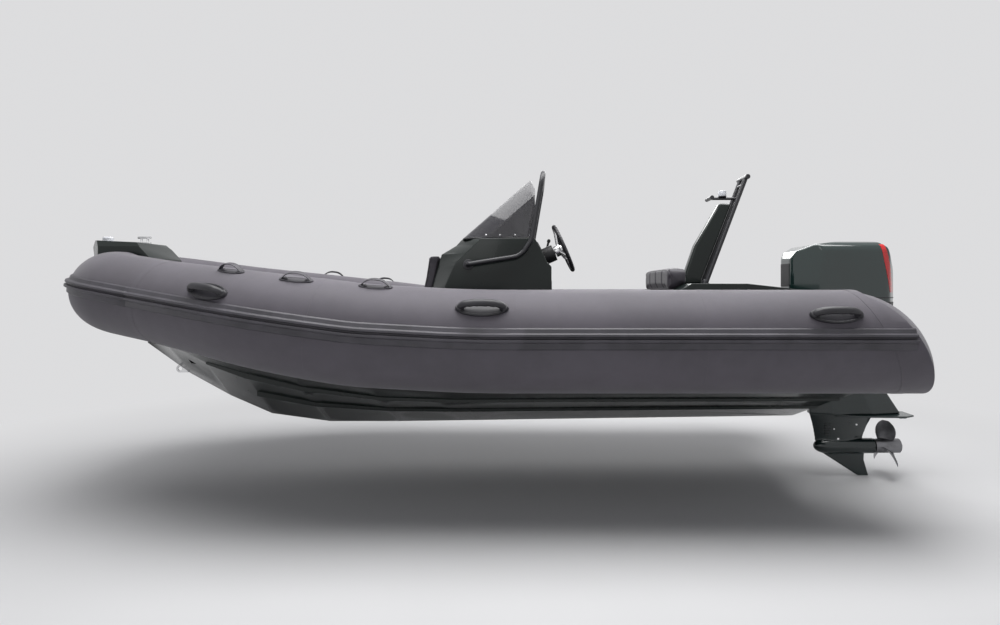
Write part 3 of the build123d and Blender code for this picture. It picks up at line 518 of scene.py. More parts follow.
class Studio:
    """The camera, the lights, the floor and the backdrop."""

    FOCAL_PX = 640.0
    FRAME_PX = 1000.0
    AXIS_PX = (535.0, 288.0)
    CENTRE_PX = (500.0, 312.5)
    EYE = (0.0, -4.53, 0.63)
    FLOOR_Z = -0.7
    FADE = (2.2, 5.5)
    BACKDROP = (0.72, 0.72, 0.73)

    def camera(self) -> None:
        """Stand the camera where the photograph was taken from."""
        data = bpy.data.cameras.new("camera")
        data.sensor_width = 36.0
        data.lens = 36.0 * self.FOCAL_PX / self.FRAME_PX
        data.shift_x = (self.CENTRE_PX[0] - self.AXIS_PX[0]) / self.FRAME_PX
        data.shift_y = (self.AXIS_PX[1] - self.CENTRE_PX[1]) / self.FRAME_PX
        data.clip_end = 100.0
        camera = bpy.data.objects.new("camera", data)
        camera.location = self.EYE
        camera.rotation_euler = (math.pi / 2, 0.0, 0.0)
        bpy.context.scene.collection.objects.link(camera)
        bpy.context.scene.camera = camera

    def lamp(self, name: str, place: Point, target: Point, size: Flat, power: float) -> None:
        """Add one soft rectangular lamp that looks at a target."""
        data = bpy.data.lights.new(name, "AREA")
        data.shape = "RECTANGLE"
        data.size, data.size_y = size
        data.energy = power
        lamp = bpy.data.objects.new(name, data)
        lamp.location = place
        aim = Vector(target) - Vector(place)
        lamp.rotation_euler = aim.to_track_quat("-Z", "Y").to_euler()
        bpy.context.scene.collection.objects.link(lamp)

    def sweep(self) -> None:
        """Lay the pale floor, which fades into the backdrop's colour far from the boat."""
        bpy.ops.mesh.primitive_plane_add(size=60.0, location=(0.0, 0.0, self.FLOOR_Z))
        floor = bpy.context.object
        floor.name = "floor"
        graph = Graph("floor_paper")
        tone = graph.noise(0.8, 3.0)
        colour = graph.mix(tone, grey_of(210, 210, 211), grey_of(218, 218, 219))
        paper = graph.finish(base_color=colour, roughness=0.85)
        tree = paper.node_tree
        far = (graph.axis("X") ** 2.0 + graph.axis("Y") ** 2.0) ** 0.5
        fade = far.spread(*self.FADE)
        seen = self.seen(tree)
        glow = graph.node("ShaderNodeEmission", None, {"Color": self.BACKDROP})
        mix = graph.node("ShaderNodeMixShader", None, {0: fade * Value(graph, seen)})
        tree.links.new(graph.shader.outputs[0], mix.inputs[1])
        tree.links.new(glow.outputs[0], mix.inputs[2])
        tree.links.new(mix.outputs[0], graph.output.inputs["Surface"])
        floor.data.materials.append(paper)

    @staticmethod
    def seen(tree: bpy.types.NodeTree) -> bpy.types.NodeSocket:
        """One on what the camera sees straight, in a reflection or through glass."""
        path = tree.nodes.new("ShaderNodeLightPath")
        total = path.outputs["Is Camera Ray"]
        for other in ("Is Glossy Ray", "Is Transmission Ray"):
            node = tree.nodes.new("ShaderNodeMath")
            node.operation = "MAXIMUM"
            tree.links.new(total, node.inputs[0])
            tree.links.new(path.outputs[other], node.inputs[1])
            total = node.outputs[0]
        return total

    def world(self) -> None:
        """A pale world for the camera and for reflections, dimmer for the light it gives."""
        world = bpy.data.worlds.new("studio")
        bpy.context.scene.world = world
        world.use_nodes = True
        tree = world.node_tree
        tree.nodes.clear()
        shown = tree.nodes.new("ShaderNodeBackground")
        shown.inputs["Color"].default_value = (*self.BACKDROP, 1.0)
        light = tree.nodes.new("ShaderNodeBackground")
        light.inputs["Color"].default_value = (0.75, 0.76, 0.8, 1.0)
        light.inputs["Strength"].default_value = 0.24
        mix = tree.nodes.new("ShaderNodeMixShader")
        tree.links.new(self.seen(tree), mix.inputs[0])
        tree.links.new(light.outputs[0], mix.inputs[1])
        tree.links.new(shown.outputs[0], mix.inputs[2])
        output = tree.nodes.new("ShaderNodeOutputWorld")
        tree.links.new(mix.outputs[0], output.inputs["Surface"])

    def build(self) -> None:
        """Set the whole studio up."""
        self.camera()
        self.sweep()
        self.world()
        self.lamp("top_softbox", (0.3, -0.6, 4.6), (0.2, 0.0, 0.3), (7.0, 3.4), 410.0)
        self.lamp("front_fill", (-2.5, -6.5, 3.0), (0.0, 0.0, 0.2), (4.0, 2.5), 34.0)
        self.lamp("back_rim", (1.5, 5.0, 3.4), (0.3, 0.0, 0.6), (5.0, 1.4), 110.0)
        bpy.context.scene.view_settings.view_transform = "Standard"


# Modelling by hand


class Pick(Enum):
    """What is selected in edit mode."""

    FACES = "FACE"
    EDGES = "EDGE"
    VERTICES = "VERT"


class Shop:
    """The bench where the pieces are modelled, from primitives, edit mode and modifiers."""

    def __init__(self, frame: dict[str, Any], palette: Palette) -> None:
        """Keep what the pieces are fitted to and dressed with.

        Args:
            frame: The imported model's nodes and bodies.
            palette: The boat's finishes.
        """
        self.nodes: dict[str, bpy.types.Object] = frame["nodes"]
        self.palette = palette
        self.body_of: dict[str, str] = {
            node: body
            for body, nodes in frame["record"]["behaviour"]["bodies"].items()
            for node in nodes
        }
        self.slot_of: dict[str, str] = {
            part["node"]: part["material_slot"] for part in frame["record"]["subparts"]
        }

    @staticmethod
    def alone(piece: bpy.types.Object | None) -> None:
        """Select one piece and nothing else."""
        if bpy.context.object and bpy.context.object.mode != "OBJECT":
            bpy.ops.object.mode_set(mode="OBJECT")
        bpy.ops.object.select_all(action="DESELECT")
        if piece is not None:
            piece.select_set(True)
            bpy.context.view_layer.objects.active = piece

    @contextmanager
    def editing(
        self, piece: bpy.types.Object, test: Callable[[Any], bool], pick: Pick = Pick.FACES
    ) -> Iterator[None]:
        """Edit mode with the parts of a piece selected that pass a test.

        Args:
            piece: The piece to edit.
            test: Says whether a face, edge or vertex is selected.
            pick: Which of these the test is given.
        """
        self.alone(piece)
        bpy.ops.object.mode_set(mode="EDIT")
        bpy.ops.mesh.select_mode(type=pick.value)
        bpy.ops.mesh.select_all(action="DESELECT")
        mesh = bmesh.from_edit_mesh(piece.data)
        parts = {"FACE": mesh.faces, "EDGE": mesh.edges, "VERT": mesh.verts}[pick.value]
        for part in parts:
            if test(part):
                part.select_set(True)
        mesh.select_flush_mode()
        bmesh.update_edit_mesh(piece.data)
        yield
        bpy.ops.object.mode_set(mode="OBJECT")

    def settle(self, piece: bpy.types.Object) -> bpy.types.Object:
        """Put a piece's place into its mesh."""
        self.alone(piece)
        bpy.ops.object.transform_apply(location=True, rotation=True, scale=True)
        return piece

    def block(self, name: str, low: Point, high: Point) -> bpy.types.Object:
        """A box.

        Args:
            name: The piece's name.
            low: Its corner with the least of each coordinate.
            high: The opposite corner.

        Returns:
            The box.
        """
        middle = [(a + b) / 2 for a, b in zip(low, high)]
        self.alone(None)
        bpy.ops.mesh.primitive_cube_add(size=1.0, location=middle)
        piece = bpy.context.object
        piece.name = name
        piece.scale = [b - a for a, b in zip(low, high)]
        return self.settle(piece)

    def rod(
        self,
        name: str,
        start: Point,
        end: Point,
        radius: float,
        sides: int = 32,
        end_radius: float | None = None,
    ) -> bpy.types.Object:
        """A round bar or cone between two points.

        Args:
            name: The piece's name.
            start: The centre of its foot.
            end: The centre of its top.
            radius: Its radius, at the foot where the ends differ.
            sides: Its number of sides.
            end_radius: Its radius at the top, where that differs.

        Returns:
            The bar.
        """
        run = Vector(end) - Vector(start)
        self.alone(None)
        bpy.ops.mesh.primitive_cone_add(
            vertices=sides,
            radius1=radius,
            radius2=radius if end_radius is None else end_radius,
            depth=run.length,
            location=(Vector(start) + Vector(end)) / 2,
            rotation=run.to_track_quat("Z", "Y").to_euler(),
        )
        piece = bpy.context.object
        piece.name = name
        return self.settle(piece)

    def stud(
        self,
        name: str,
        start: Point,
        end: Point,
        radius: float,
        edge: float,
        segments: int,
        sides: int = 48,
        end_radius: float | None = None,
    ) -> bpy.types.Object:
        """A rod with rounded edges: a screw, cap, flange or boss.

        Args:
            name: The piece's name.
            start: The centre of its foot.
            end: The centre of its top.
            radius: Its radius at the foot.
            edge: Width of its rounded edges.
            segments: Steps of these.
            sides: Its number of sides.
            end_radius: Its radius at the top, where that differs.

        Returns:
            The stud.
        """
        return self.round_off(self.rod(name, start, end, radius, sides, end_radius), edge, segments)

    def pressed(
        self, piece: bpy.types.Object, axis: int, rim: float, move: float
    ) -> bpy.types.Object:
        """Press the middle of a face in, or raise it, inside a rim.

        Args:
            piece: The piece.
            axis: 0, 1 or 2 for the axis that the face looks along.
            rim: Width of the rim that stays.
            move: How far the middle moves along the axis.

        Returns:
            The same piece.
        """
        way = [0.0, 0.0, 0.0]
        way[axis] = move
        with self.editing(piece, lambda face: face.normal[axis] > 0.9):
            bpy.ops.mesh.inset(thickness=rim)
            bpy.ops.mesh.extrude_region_move(TRANSFORM_OT_translate={"value": way})
        return piece

    def ring(
        self, name: str, centre: Point, axis: Point, radius: float, thick: float, sides: int = 64
    ) -> bpy.types.Object:
        """A round ring about an axis.

        Args:
            name: The piece's name.
            centre: The ring's centre.
            axis: The axis that it lies round.
            radius: From the centre to the middle of its section.
            thick: Half its thickness.
            sides: Steps round the axis; a small ring has fewer and a plainer section.

        Returns:
            The ring.
        """
        self.alone(None)
        bpy.ops.mesh.primitive_torus_add(
            major_radius=radius,
            minor_radius=thick,
            major_segments=sides,
            minor_segments=12 if sides > 40 else 6,
            location=centre,
            rotation=Vector(axis).to_track_quat("Z", "Y").to_euler(),
        )
        piece = bpy.context.object
        piece.name = name
        return self.settle(piece)

    def bar(
        self, name: str, points: Sequence[Point], radius: float, closed: bool = False
    ) -> bpy.types.Object:
        """A round bar along a smooth line through points.

        Args:
            name: The piece's name.
            points: The control points of its line.
            radius: Half the bar's thickness.
            closed: Whether the line joins up.

        Returns:
            The bar as a mesh.
        """
        curve = bpy.data.curves.new(name, "CURVE")
        curve.dimensions = "3D"
        curve.bevel_depth = radius
        curve.bevel_resolution = 4
        curve.use_fill_caps = not closed
        line = curve.splines.new("NURBS")
        line.points.add(len(points) - 1)
        for place, point in zip(line.points, points):
            place.co = (*point, 1.0)
        line.order_u = 3
        line.use_endpoint_u = not closed
        line.use_cyclic_u = closed
        line.resolution_u = 8
        piece = bpy.data.objects.new(name, curve)
        bpy.context.scene.collection.objects.link(piece)
        self.alone(piece)
        bpy.ops.object.convert(target="MESH")
        return bpy.context.object

    def modify(self, piece: bpy.types.Object, kind: str, **settings: Any) -> bpy.types.Object:
        """Add a modifier, set it up and apply it.

        Args:
            piece: The piece.
            kind: Blender's name of the modifier's type.
            **settings: Its settings.

        Returns:
            The same piece.
        """
        self.alone(piece)
        modifier = piece.modifiers.new(kind.lower(), kind)
        for name, value in settings.items():
            setattr(modifier, name, value)
        bpy.ops.object.modifier_apply(modifier=modifier.name)
        return piece

    def smooth(self, piece: bpy.types.Object, degrees: float = 35.0) -> bpy.types.Object:
        """Shade a piece smooth but for its sharp edges."""
        self.alone(piece)
        bpy.ops.object.shade_smooth_by_angle(angle=math.radians(degrees))
        return piece

    def round_off(
        self, piece: bpy.types.Object, width: float, segments: int = 2, degrees: float = 30.0
    ) -> bpy.types.Object:
        """Round a piece's edges and shade it smooth.

        Args:
            piece: The piece.
            width: Width of the rounding.
            segments: Steps of it.
            degrees: Edges that turn more than this are rounded.

        Returns:
            The same piece.
        """
        self.modify(
            piece,
            "BEVEL",
            width=width,
            segments=segments,
            limit_method="ANGLE",
            angle_limit=math.radians(degrees),
            harden_normals=False,
            use_clamp_overlap=True,
        )
        return self.smooth(piece, 40.0)

    def merged(self, node: str, name: str) -> bpy.types.Object:
        """A copy of a node as one closed mesh, its flat faces whole again.

        Args:
            node: The node.
            name: The copy's name.

        Returns:
            The copy.
        """
        source = self.nodes[node]
        piece = bpy.data.objects.new(name, source.data.copy())
        bpy.context.scene.collection.objects.link(piece)
        with self.editing(piece, lambda vertex: True, Pick.VERTICES):
            bpy.ops.mesh.remove_doubles(threshold=0.00002)
            bpy.ops.mesh.dissolve_limited(angle_limit=math.radians(0.4))
        if piece.data.has_custom_normals:
            self.alone(piece)
            bpy.ops.mesh.customdata_custom_splitnormals_clear()
        return piece

    def join(self, name: str, pieces: Sequence[bpy.types.Object]) -> bpy.types.Object:
        """Make several pieces one."""
        self.alone(None)
        for piece in pieces:
            piece.select_set(True)
        bpy.context.view_layer.objects.active = pieces[0]
        if len(pieces) > 1:
            bpy.ops.object.join()
        pieces[0].name = name
        return pieces[0]

    def placed(self, piece: bpy.types.Object, name: str, frame: Matrix) -> bpy.types.Object:
        """A copy of a piece with its own mesh.

        Args:
            piece: The piece.
            name: The copy's name.
            frame: What moves the copy's mesh.

        Returns:
            The copy.
        """
        copy = bpy.data.objects.new(name, piece.data.copy())
        bpy.context.scene.collection.objects.link(copy)
        copy.data.transform(frame)
        return copy

    def drop(self, *pieces: bpy.types.Object) -> None:
        """Throw a pattern away."""
        for piece in pieces:
            bpy.data.objects.remove(piece, do_unlink=True)

    def cut(
        self, piece: bpy.types.Object, place: Point, normal: Point
    ) -> bpy.types.Object:
        """Take away what lies beyond a plane.

        Args:
            piece: The piece.
            place: A point of the plane.
            normal: The way to what goes.

        Returns:
            The same piece.
        """
        with self.editing(piece, lambda face: True):
            bpy.ops.mesh.bisect(
                plane_co=place, plane_no=normal, use_fill=False, clear_outer=True
            )
        return piece

    def skin(
        self,
        piece: bpy.types.Object,
        planes: Planes,
        lift: float,
        sunk: float = 0.0004,
    ) -> bpy.types.Object:
        """Turn a copy of a form into a thin strip that lies on it between planes.

        Args:
            piece: The copy, which becomes the strip.
            planes: A point and an outward normal of each plane that bounds it.
            lift: How far it stands off the surface.
            sunk: How far it reaches under the surface.

        Returns:
            The strip.
        """
        for place, normal in planes:
            self.cut(piece, place, normal)
        self.modify(piece, "SOLIDIFY", thickness=lift + sunk, offset=lift / (lift + sunk) * 2 - 1)
        return self.smooth(piece, 50.0)

    def probe(self, name: str) -> Callable[[Point, Point], Vector | None]:
        """A function that finds where a ray meets an object.

        Args:
            name: The object's name.

        Returns:
            A function from a start and a direction to the point met, or None.
        """
        source = bpy.data.objects[name]
        tree = BVHTree.FromObject(source, bpy.context.evaluated_depsgraph_get())
        return lambda start, way: tree.ray_cast(Vector(start), Vector(way))[0]

    def done(
        self, piece: bpy.types.Object, body: str, slot: str, *replaced: str
    ) -> bpy.types.Object:
        """Dress a finished piece, let it ride on its body and report it.

        Args:
            piece: The piece.
            body: The body that it moves with.
            slot: The slot of its finish.
            *replaced: The nodes that it stands for.

        Returns:
            The same piece.
        """
        self.palette.dress(piece, slot)
        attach(piece, body)
        if replaced:
            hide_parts(*replaced)
        LOG.info("%s: %d faces on %s", piece.name, len(piece.data.polygons), body)
        return piece

    def rounded(self, node: str, width: float, segments: int = 2) -> bpy.types.Object:
        """A node with its edges rounded, which stands for the node.

        Args:
            node: The node.
            width: Width of the rounding, or nought to smooth its curves only.
            segments: Steps of the rounding.

        Returns:
            The piece.
        """
        piece = self.merged(node, node + "_form")
        if width:
            self.round_off(piece, width, segments)
        else:
            self.smooth(piece)
        return self.done(piece, self.body_of[node], self.slot_of[node], node)

    def moulded(self, node: str, voxel: float, rounds: int) -> bpy.types.Object:
        """A node's form as one cast or moulded skin, all its edges softened.

        Args:
            node: The node.
            voxel: Size of the skin's facets.
            rounds: How often it is smoothed.

        Returns:
            The piece.
        """
        piece = self.merged(node, node + "_form")
        piece.data.remesh_voxel_size = voxel
        self.alone(piece)
        bpy.ops.object.voxel_remesh()
        self.modify(piece, "SMOOTH", factor=0.5, iterations=rounds)
        self.alone(piece)
        bpy.ops.object.shade_smooth()
        return self.done(piece, self.body_of[node], self.slot_of[node], node)


# Sub-assemblies

SIDES = ((-1.0, "port"), (1.0, "starboard"))


@dataclass
class Collar:
    """The inflated collar with its tapes, strakes, handles and valves."""

    shop: Shop
    radius: float = 0.29
    bow_radius: float = 0.2535
    spacing: float = 0.93
    height: float = 0.33
    sheer: tuple[Flat, ...] = ((-0.364, 0.056), (-0.972, 0.085))
    taper: Flat = (-1.102, -2.25)
    shoulder: float = -1.457
    corner: Flat = (-2.69, 0.455)
    cone_seam: float = 1.908
    cone_lean: float = 24.0
    side_handles: tuple[Flat, ...] = ((1.58, 33.0), (-0.28, 41.0), (-1.716, 32.0))
    top_handles: tuple[Flat, ...] = ((-0.89, 72.0), (-1.34, 68.0), (-1.715, 72.0))
    tapes: tuple[float, ...] = (0.92, -0.12, -1.22)
    tape_half: float = 0.02
    seam_overlap: float = 0.045
    cone_overlap: float = 0.05
    # a side handle: half sizes of its pad, places of its bar's line, the bar's and feet's radii
    pad_half: Flat = (0.138, 0.05)
    grip_line: tuple[Flat, ...] = (
        (-0.122, 0.0),
        (-0.112, 0.024),
        (-0.08, 0.044),
        (-0.03, 0.05),
        (0.0, 0.0505),
    )
    grip_r: float = 0.0165
    grip_foot: Point = (0.117, 0.026, 0.019)
    # a top handle: half sizes of its pad, the strap's length, width and rise
    loop_half: Flat = (0.095, 0.031)
    strap: Point = (0.158, 0.027, 0.039)
    stitches: tuple[float, ...] = (-0.082, -0.058, 0.058, 0.082)
    patches: tuple[float, ...] = (-0.07, 0.07)
    tape_lift: float = 0.0009
    valves: tuple[float, ...] = (1.2, -0.7, -1.9)
    valve_angle: float = 138.0

    def centre(self, x: float, side: float) -> Vector:
        """The tube's centre at x."""
        share = max(0.0, (self.shoulder - x) / (self.shoulder - self.corner[0]))
        y = self.spacing - share * (self.spacing - self.corner[1])
        rise = sum(max(0.0, start - x) * slope for start, slope in self.sheer)
        return Vector((x, side * y, self.height + rise))

    def ahead(self, x: float, side: float) -> Vector:
        """The tube's direction forward at x."""
        return (self.centre(x - 0.04, side) - self.centre(x + 0.04, side)).normalized()

    def tube_r(self, x: float) -> float:
        """The tube's radius at x."""
        share = (self.taper[0] - x) / (self.taper[0] - self.taper[1])
        return self.radius + min(1.0, max(0.0, share)) * (self.bow_radius - self.radius)

    def frame(self, x: float, side: float, angle: float) -> Matrix:
        """A frame on the tube's skin: X forward, Z out.

        Args:
            x: Where along the boat.
            side: -1 for port, 1 for starboard.
            angle: Degrees up from level, outboard of the tube.

        Returns:
            The frame.
        """
        ahead = self.ahead(x, side)
        outward = Vector((0, 0, 1)).cross(ahead).normalized() * -side
        up = ahead.cross(outward) * -side
        turn = math.radians(angle)
        normal = (outward * math.cos(turn) + up * math.sin(turn)).normalized()
        place = self.centre(x, side) + normal * self.tube_r(x)
        columns = Matrix((ahead, normal.cross(ahead), normal)).transposed()
        return Matrix.Translation(place) @ columns.to_4x4()

    def laid(self, pattern: bpy.types.Object, frame: Matrix, side: float) -> bpy.types.Object:
        """A copy of a bent fitting in a frame, each point kept at its height over the skin.

        Args:
            pattern: The fitting, bent round the tube's full radius.
            frame: Its place on the tube.
            side: -1 for port, 1 for starboard.

        Returns:
            The copy, which follows the tube where this one narrows and turns.
        """
        hit = self.shop.probe(f"collar_{dict(SIDES)[side]}_form")
        copy = self.shop.placed(pattern, "copy", frame)
        for flat, vertex in zip(pattern.data.vertices, copy.data.vertices):
            axis = frame @ Vector((flat.co.x, 0.0, -self.radius))
            out = vertex.co - axis
            height = out.length - self.radius
            out.normalize()
            spot = hit(vertex.co + out * 0.2, -out)
            if spot is not None:
                vertex.co = spot + out * height
        return copy

    def wrap(self, piece: bpy.types.Object) -> bpy.types.Object:
        """Bend a flat fitting round the tube."""
        for vertex in piece.data.vertices:
            _, y, z = vertex.co
            turn = y / self.radius
            vertex.co.y = (self.radius + z) * math.sin(turn)
            vertex.co.z = (self.radius + z) * math.cos(turn) - self.radius
        return piece

    def oval(
        self, name: str, half: Flat, rise: float, sink: float, rim: float
    ) -> bpy.types.Object:
        """An oval rubber pad with a raised rim and a sunk middle.

        Args:
            name: The pad's name.
            half: Half its length and width.
            rise: Its height over the skin.
            sink: How deep its middle is pressed in.
            rim: Width of the rim.

        Returns:
            The pad, flat and with its foot under the skin.
        """
        shop = self.shop
        shop.alone(None)
        bpy.ops.mesh.primitive_cylinder_add(
            vertices=72, radius=1.0, depth=1.0, location=(0, 0, rise / 2), end_fill_type="NGON"
        )
        pad = bpy.context.object
        pad.name = name
        pad.scale = (*half, rise)
        shop.settle(pad)
        with shop.editing(pad, lambda face: face.normal.z > 0.9):
            bpy.ops.mesh.inset(thickness=rim)
            move = {"value": (0, 0, -sink)}
            bpy.ops.mesh.extrude_region_move(TRANSFORM_OT_translate=move)
            bpy.ops.mesh.inset(thickness=rim * 0.3)
            bpy.ops.mesh.subdivide(number_cuts=1)
        with shop.editing(pad, lambda face: face.normal.z < -0.9):
            bpy.ops.mesh.extrude_region_move(TRANSFORM_OT_translate={"value": (0, 0, -0.006)})
        return shop.round_off(pad, rise * 0.28, 3, 40.0)

    def grip(self) -> bpy.types.Object:
        """One side handle: an oval pad with a thick arched grip."""
        shop = self.shop
        pad = self.oval("handle_pad", self.pad_half, 0.0095, 0.0055, 0.011)
        line = self.grip_line + tuple((-x, z) for x, z in reversed(self.grip_line[:-1]))
        bar = shop.bar("handle_bar", [(x, 0.0, z) for x, z in line], self.grip_r)
        wave, wave_length = 0.0022, 0.038
        for vertex in bar.data.vertices:
            # finger waves under the grip and a flatter, wider top
            vertex.co.y *= 1.12
            if vertex.co.z < 0.042 and abs(vertex.co.x) < 0.08:
                vertex.co.z += wave * math.cos(vertex.co.x / wave_length * 2 * math.pi)
        reach, wide, narrow = self.grip_foot
        feet = [
            shop.stud("handle_foot", (x, 0, 0.001), (x, 0, 0.02), wide, 0.004, 3, 32, narrow)
            for x in (-reach, reach)
        ]
        shop.smooth(bar, 60.0)
        return self.wrap(shop.join("side_handle", [pad, bar, *feet]))

    def loop(self) -> bpy.types.Object:
        """One top handle: a strap arched between two patches on an oval pad."""
        shop = self.shop
        length, width, rise = self.strap
        pad = self.oval("loop_pad", self.loop_half, 0.0042, 0.0014, 0.004)
        shop.alone(None)
        bpy.ops.mesh.primitive_grid_add(x_subdivisions=40, y_subdivisions=6, size=1.0)
        strap = bpy.context.object
        strap.scale = (length, width, 1.0)
        shop.settle(strap)
        for vertex in strap.data.vertices:
            x, y, _ = vertex.co
            share, off = abs(x) / (length / 2), y / (width / 2)
            vertex.co.z = 0.0045 + rise * (1 - share**2.6) + 0.0012 * (1 - off**2)
        shop.modify(strap, "SOLIDIFY", thickness=0.0045, offset=1.0)
        shop.round_off(strap, 0.0013, 2, 50.0)
        patches = [
            shop.stud("patch", (x, 0, 0.003), (x, 0, 0.0088), 0.024, 0.0012, 2, 40, 0.021)
            for x in self.patches
        ]
        stitches = [
            shop.block("stitch", (x - 0.0012, -0.012, 0.0085), (x + 0.0012, 0.012, 0.0098))
            for x in self.stitches
        ]
        return self.wrap(shop.join("top_handle", [pad, strap, *patches, *stitches]))

    def spread(
        self, pattern: bpy.types.Object, places: Sequence[Flat], node: str, slot: str
    ) -> None:
        """Copy a fitting to its places on both sides.

        Args:
            pattern: The fitting, bent round the tube; it is thrown away.
            places: The x and the angle of each.
            node: The node that each side's copies stand for, without its side.
            slot: The slot of their finish.
        """
        shop = self.shop
        for side, label in SIDES:
            copies = [
                self.laid(pattern, self.frame(x, side, angle), side) for x, angle in places
            ]
            name = f"{node}_{label}"
            shop.done(shop.join(name + "_form", copies), "hull", slot, name)
        shop.drop(pattern)

    def taping(self) -> None:
        """Glue tapes over the tube's joints."""
        shop = self.shop
        lean = math.radians(self.cone_lean)
        aft = Vector((math.cos(lean), 0.0, math.sin(lean)))
        for side, label in SIDES:
            strips = []

            def tape(planes: Planes, lift: float) -> bpy.types.Object:
                """A band of this side's tube between planes."""
                return shop.skin(shop.merged("collar_" + label, "tape"), planes, lift)

            for x in self.tapes:
                place, ahead = self.centre(x, side), self.ahead(x, side)
                planes = [
                    (place + ahead * self.tape_half, ahead),
                    (place - ahead * self.tape_half, -ahead),
                ]
                strips.append(tape(planes, self.tape_lift))
            seam, ahead = self.centre(self.taper[1], side), self.ahead(self.taper[1] + 0.1, side)
            near = seam - ahead * 0.001
            planes = [(near, ahead), (seam - ahead * self.seam_overlap, -ahead)]
            strips.append(tape(planes, self.tape_lift))
            rear = Vector((self.cone_seam, side * self.spacing, self.height))
            planes = [(rear - aft * 0.001, aft), (rear - aft * self.cone_overlap, -aft)]
            strips.append(tape(planes, self.tape_lift * 1.6))
            tapes = shop.join("seam_tapes_" + label, strips)
            shop.done(tapes, "hull", "tube_fabric")

    def valve_set(self) -> None:
        """Set an inflation valve on each chamber, inboard where the crew can reach it."""
        shop = self.shop
        disc = shop.stud("valve", (0, 0, -0.003), (0, 0, 0.004), 0.034, 0.001, 2, 48, 0.031)
        cap = shop.rod("valve_cap", (0, 0, 0.003), (0, 0, 0.011), 0.022, 48, 0.02)
        shop.round_off(shop.pressed(cap, 2, 0.006, -0.003), 0.0008, 2)
        bar = shop.block("valve_bar", (-0.013, -0.002, 0.006), (0.013, 0.002, 0.0115))
        shop.round_off(bar, 0.0006, 2)
        valve = self.wrap(shop.join("valve", [disc, cap, bar]))
        for side, label in SIDES:
            places = [self.frame(x, side, self.valve_angle) for x in self.valves]
            copies = [shop.placed(valve, "copy", place) for place in places]
            shop.done(shop.join("valves_" + label, copies), "hull", "black_plastic")
        shop.drop(valve)

    def build(self) -> None:
        """Make the whole collar."""
        shop = self.shop
        for node in (
            "collar_port", "collar_starboard", "collar_bow", "cone_port", "cone_starboard"
        ):
            shop.rounded(node, 0.0)
        for node in ("rub_strake_port", "rub_strake_starboard", "rub_strake_bow"):
            shop.rounded(node, 0.0016)
        self.taping()
        self.spread(self.grip(), self.side_handles, "side_handles", "handle_rubber")
        self.spread(self.loop(), self.top_handles, "top_handles", "strake_rubber")
        self.valve_set()


@dataclass(frozen=True)
class Pad:
    """One upholstered pad: its node and body, its sewn channels and the way its face looks."""

    node: str
    body: str
    channels: tuple[float, ...]
    channel_axis: int
    face_axis: int
    face_sign: float
    fill: float
    shrink: float = 0.007
    cap: float = 0.012


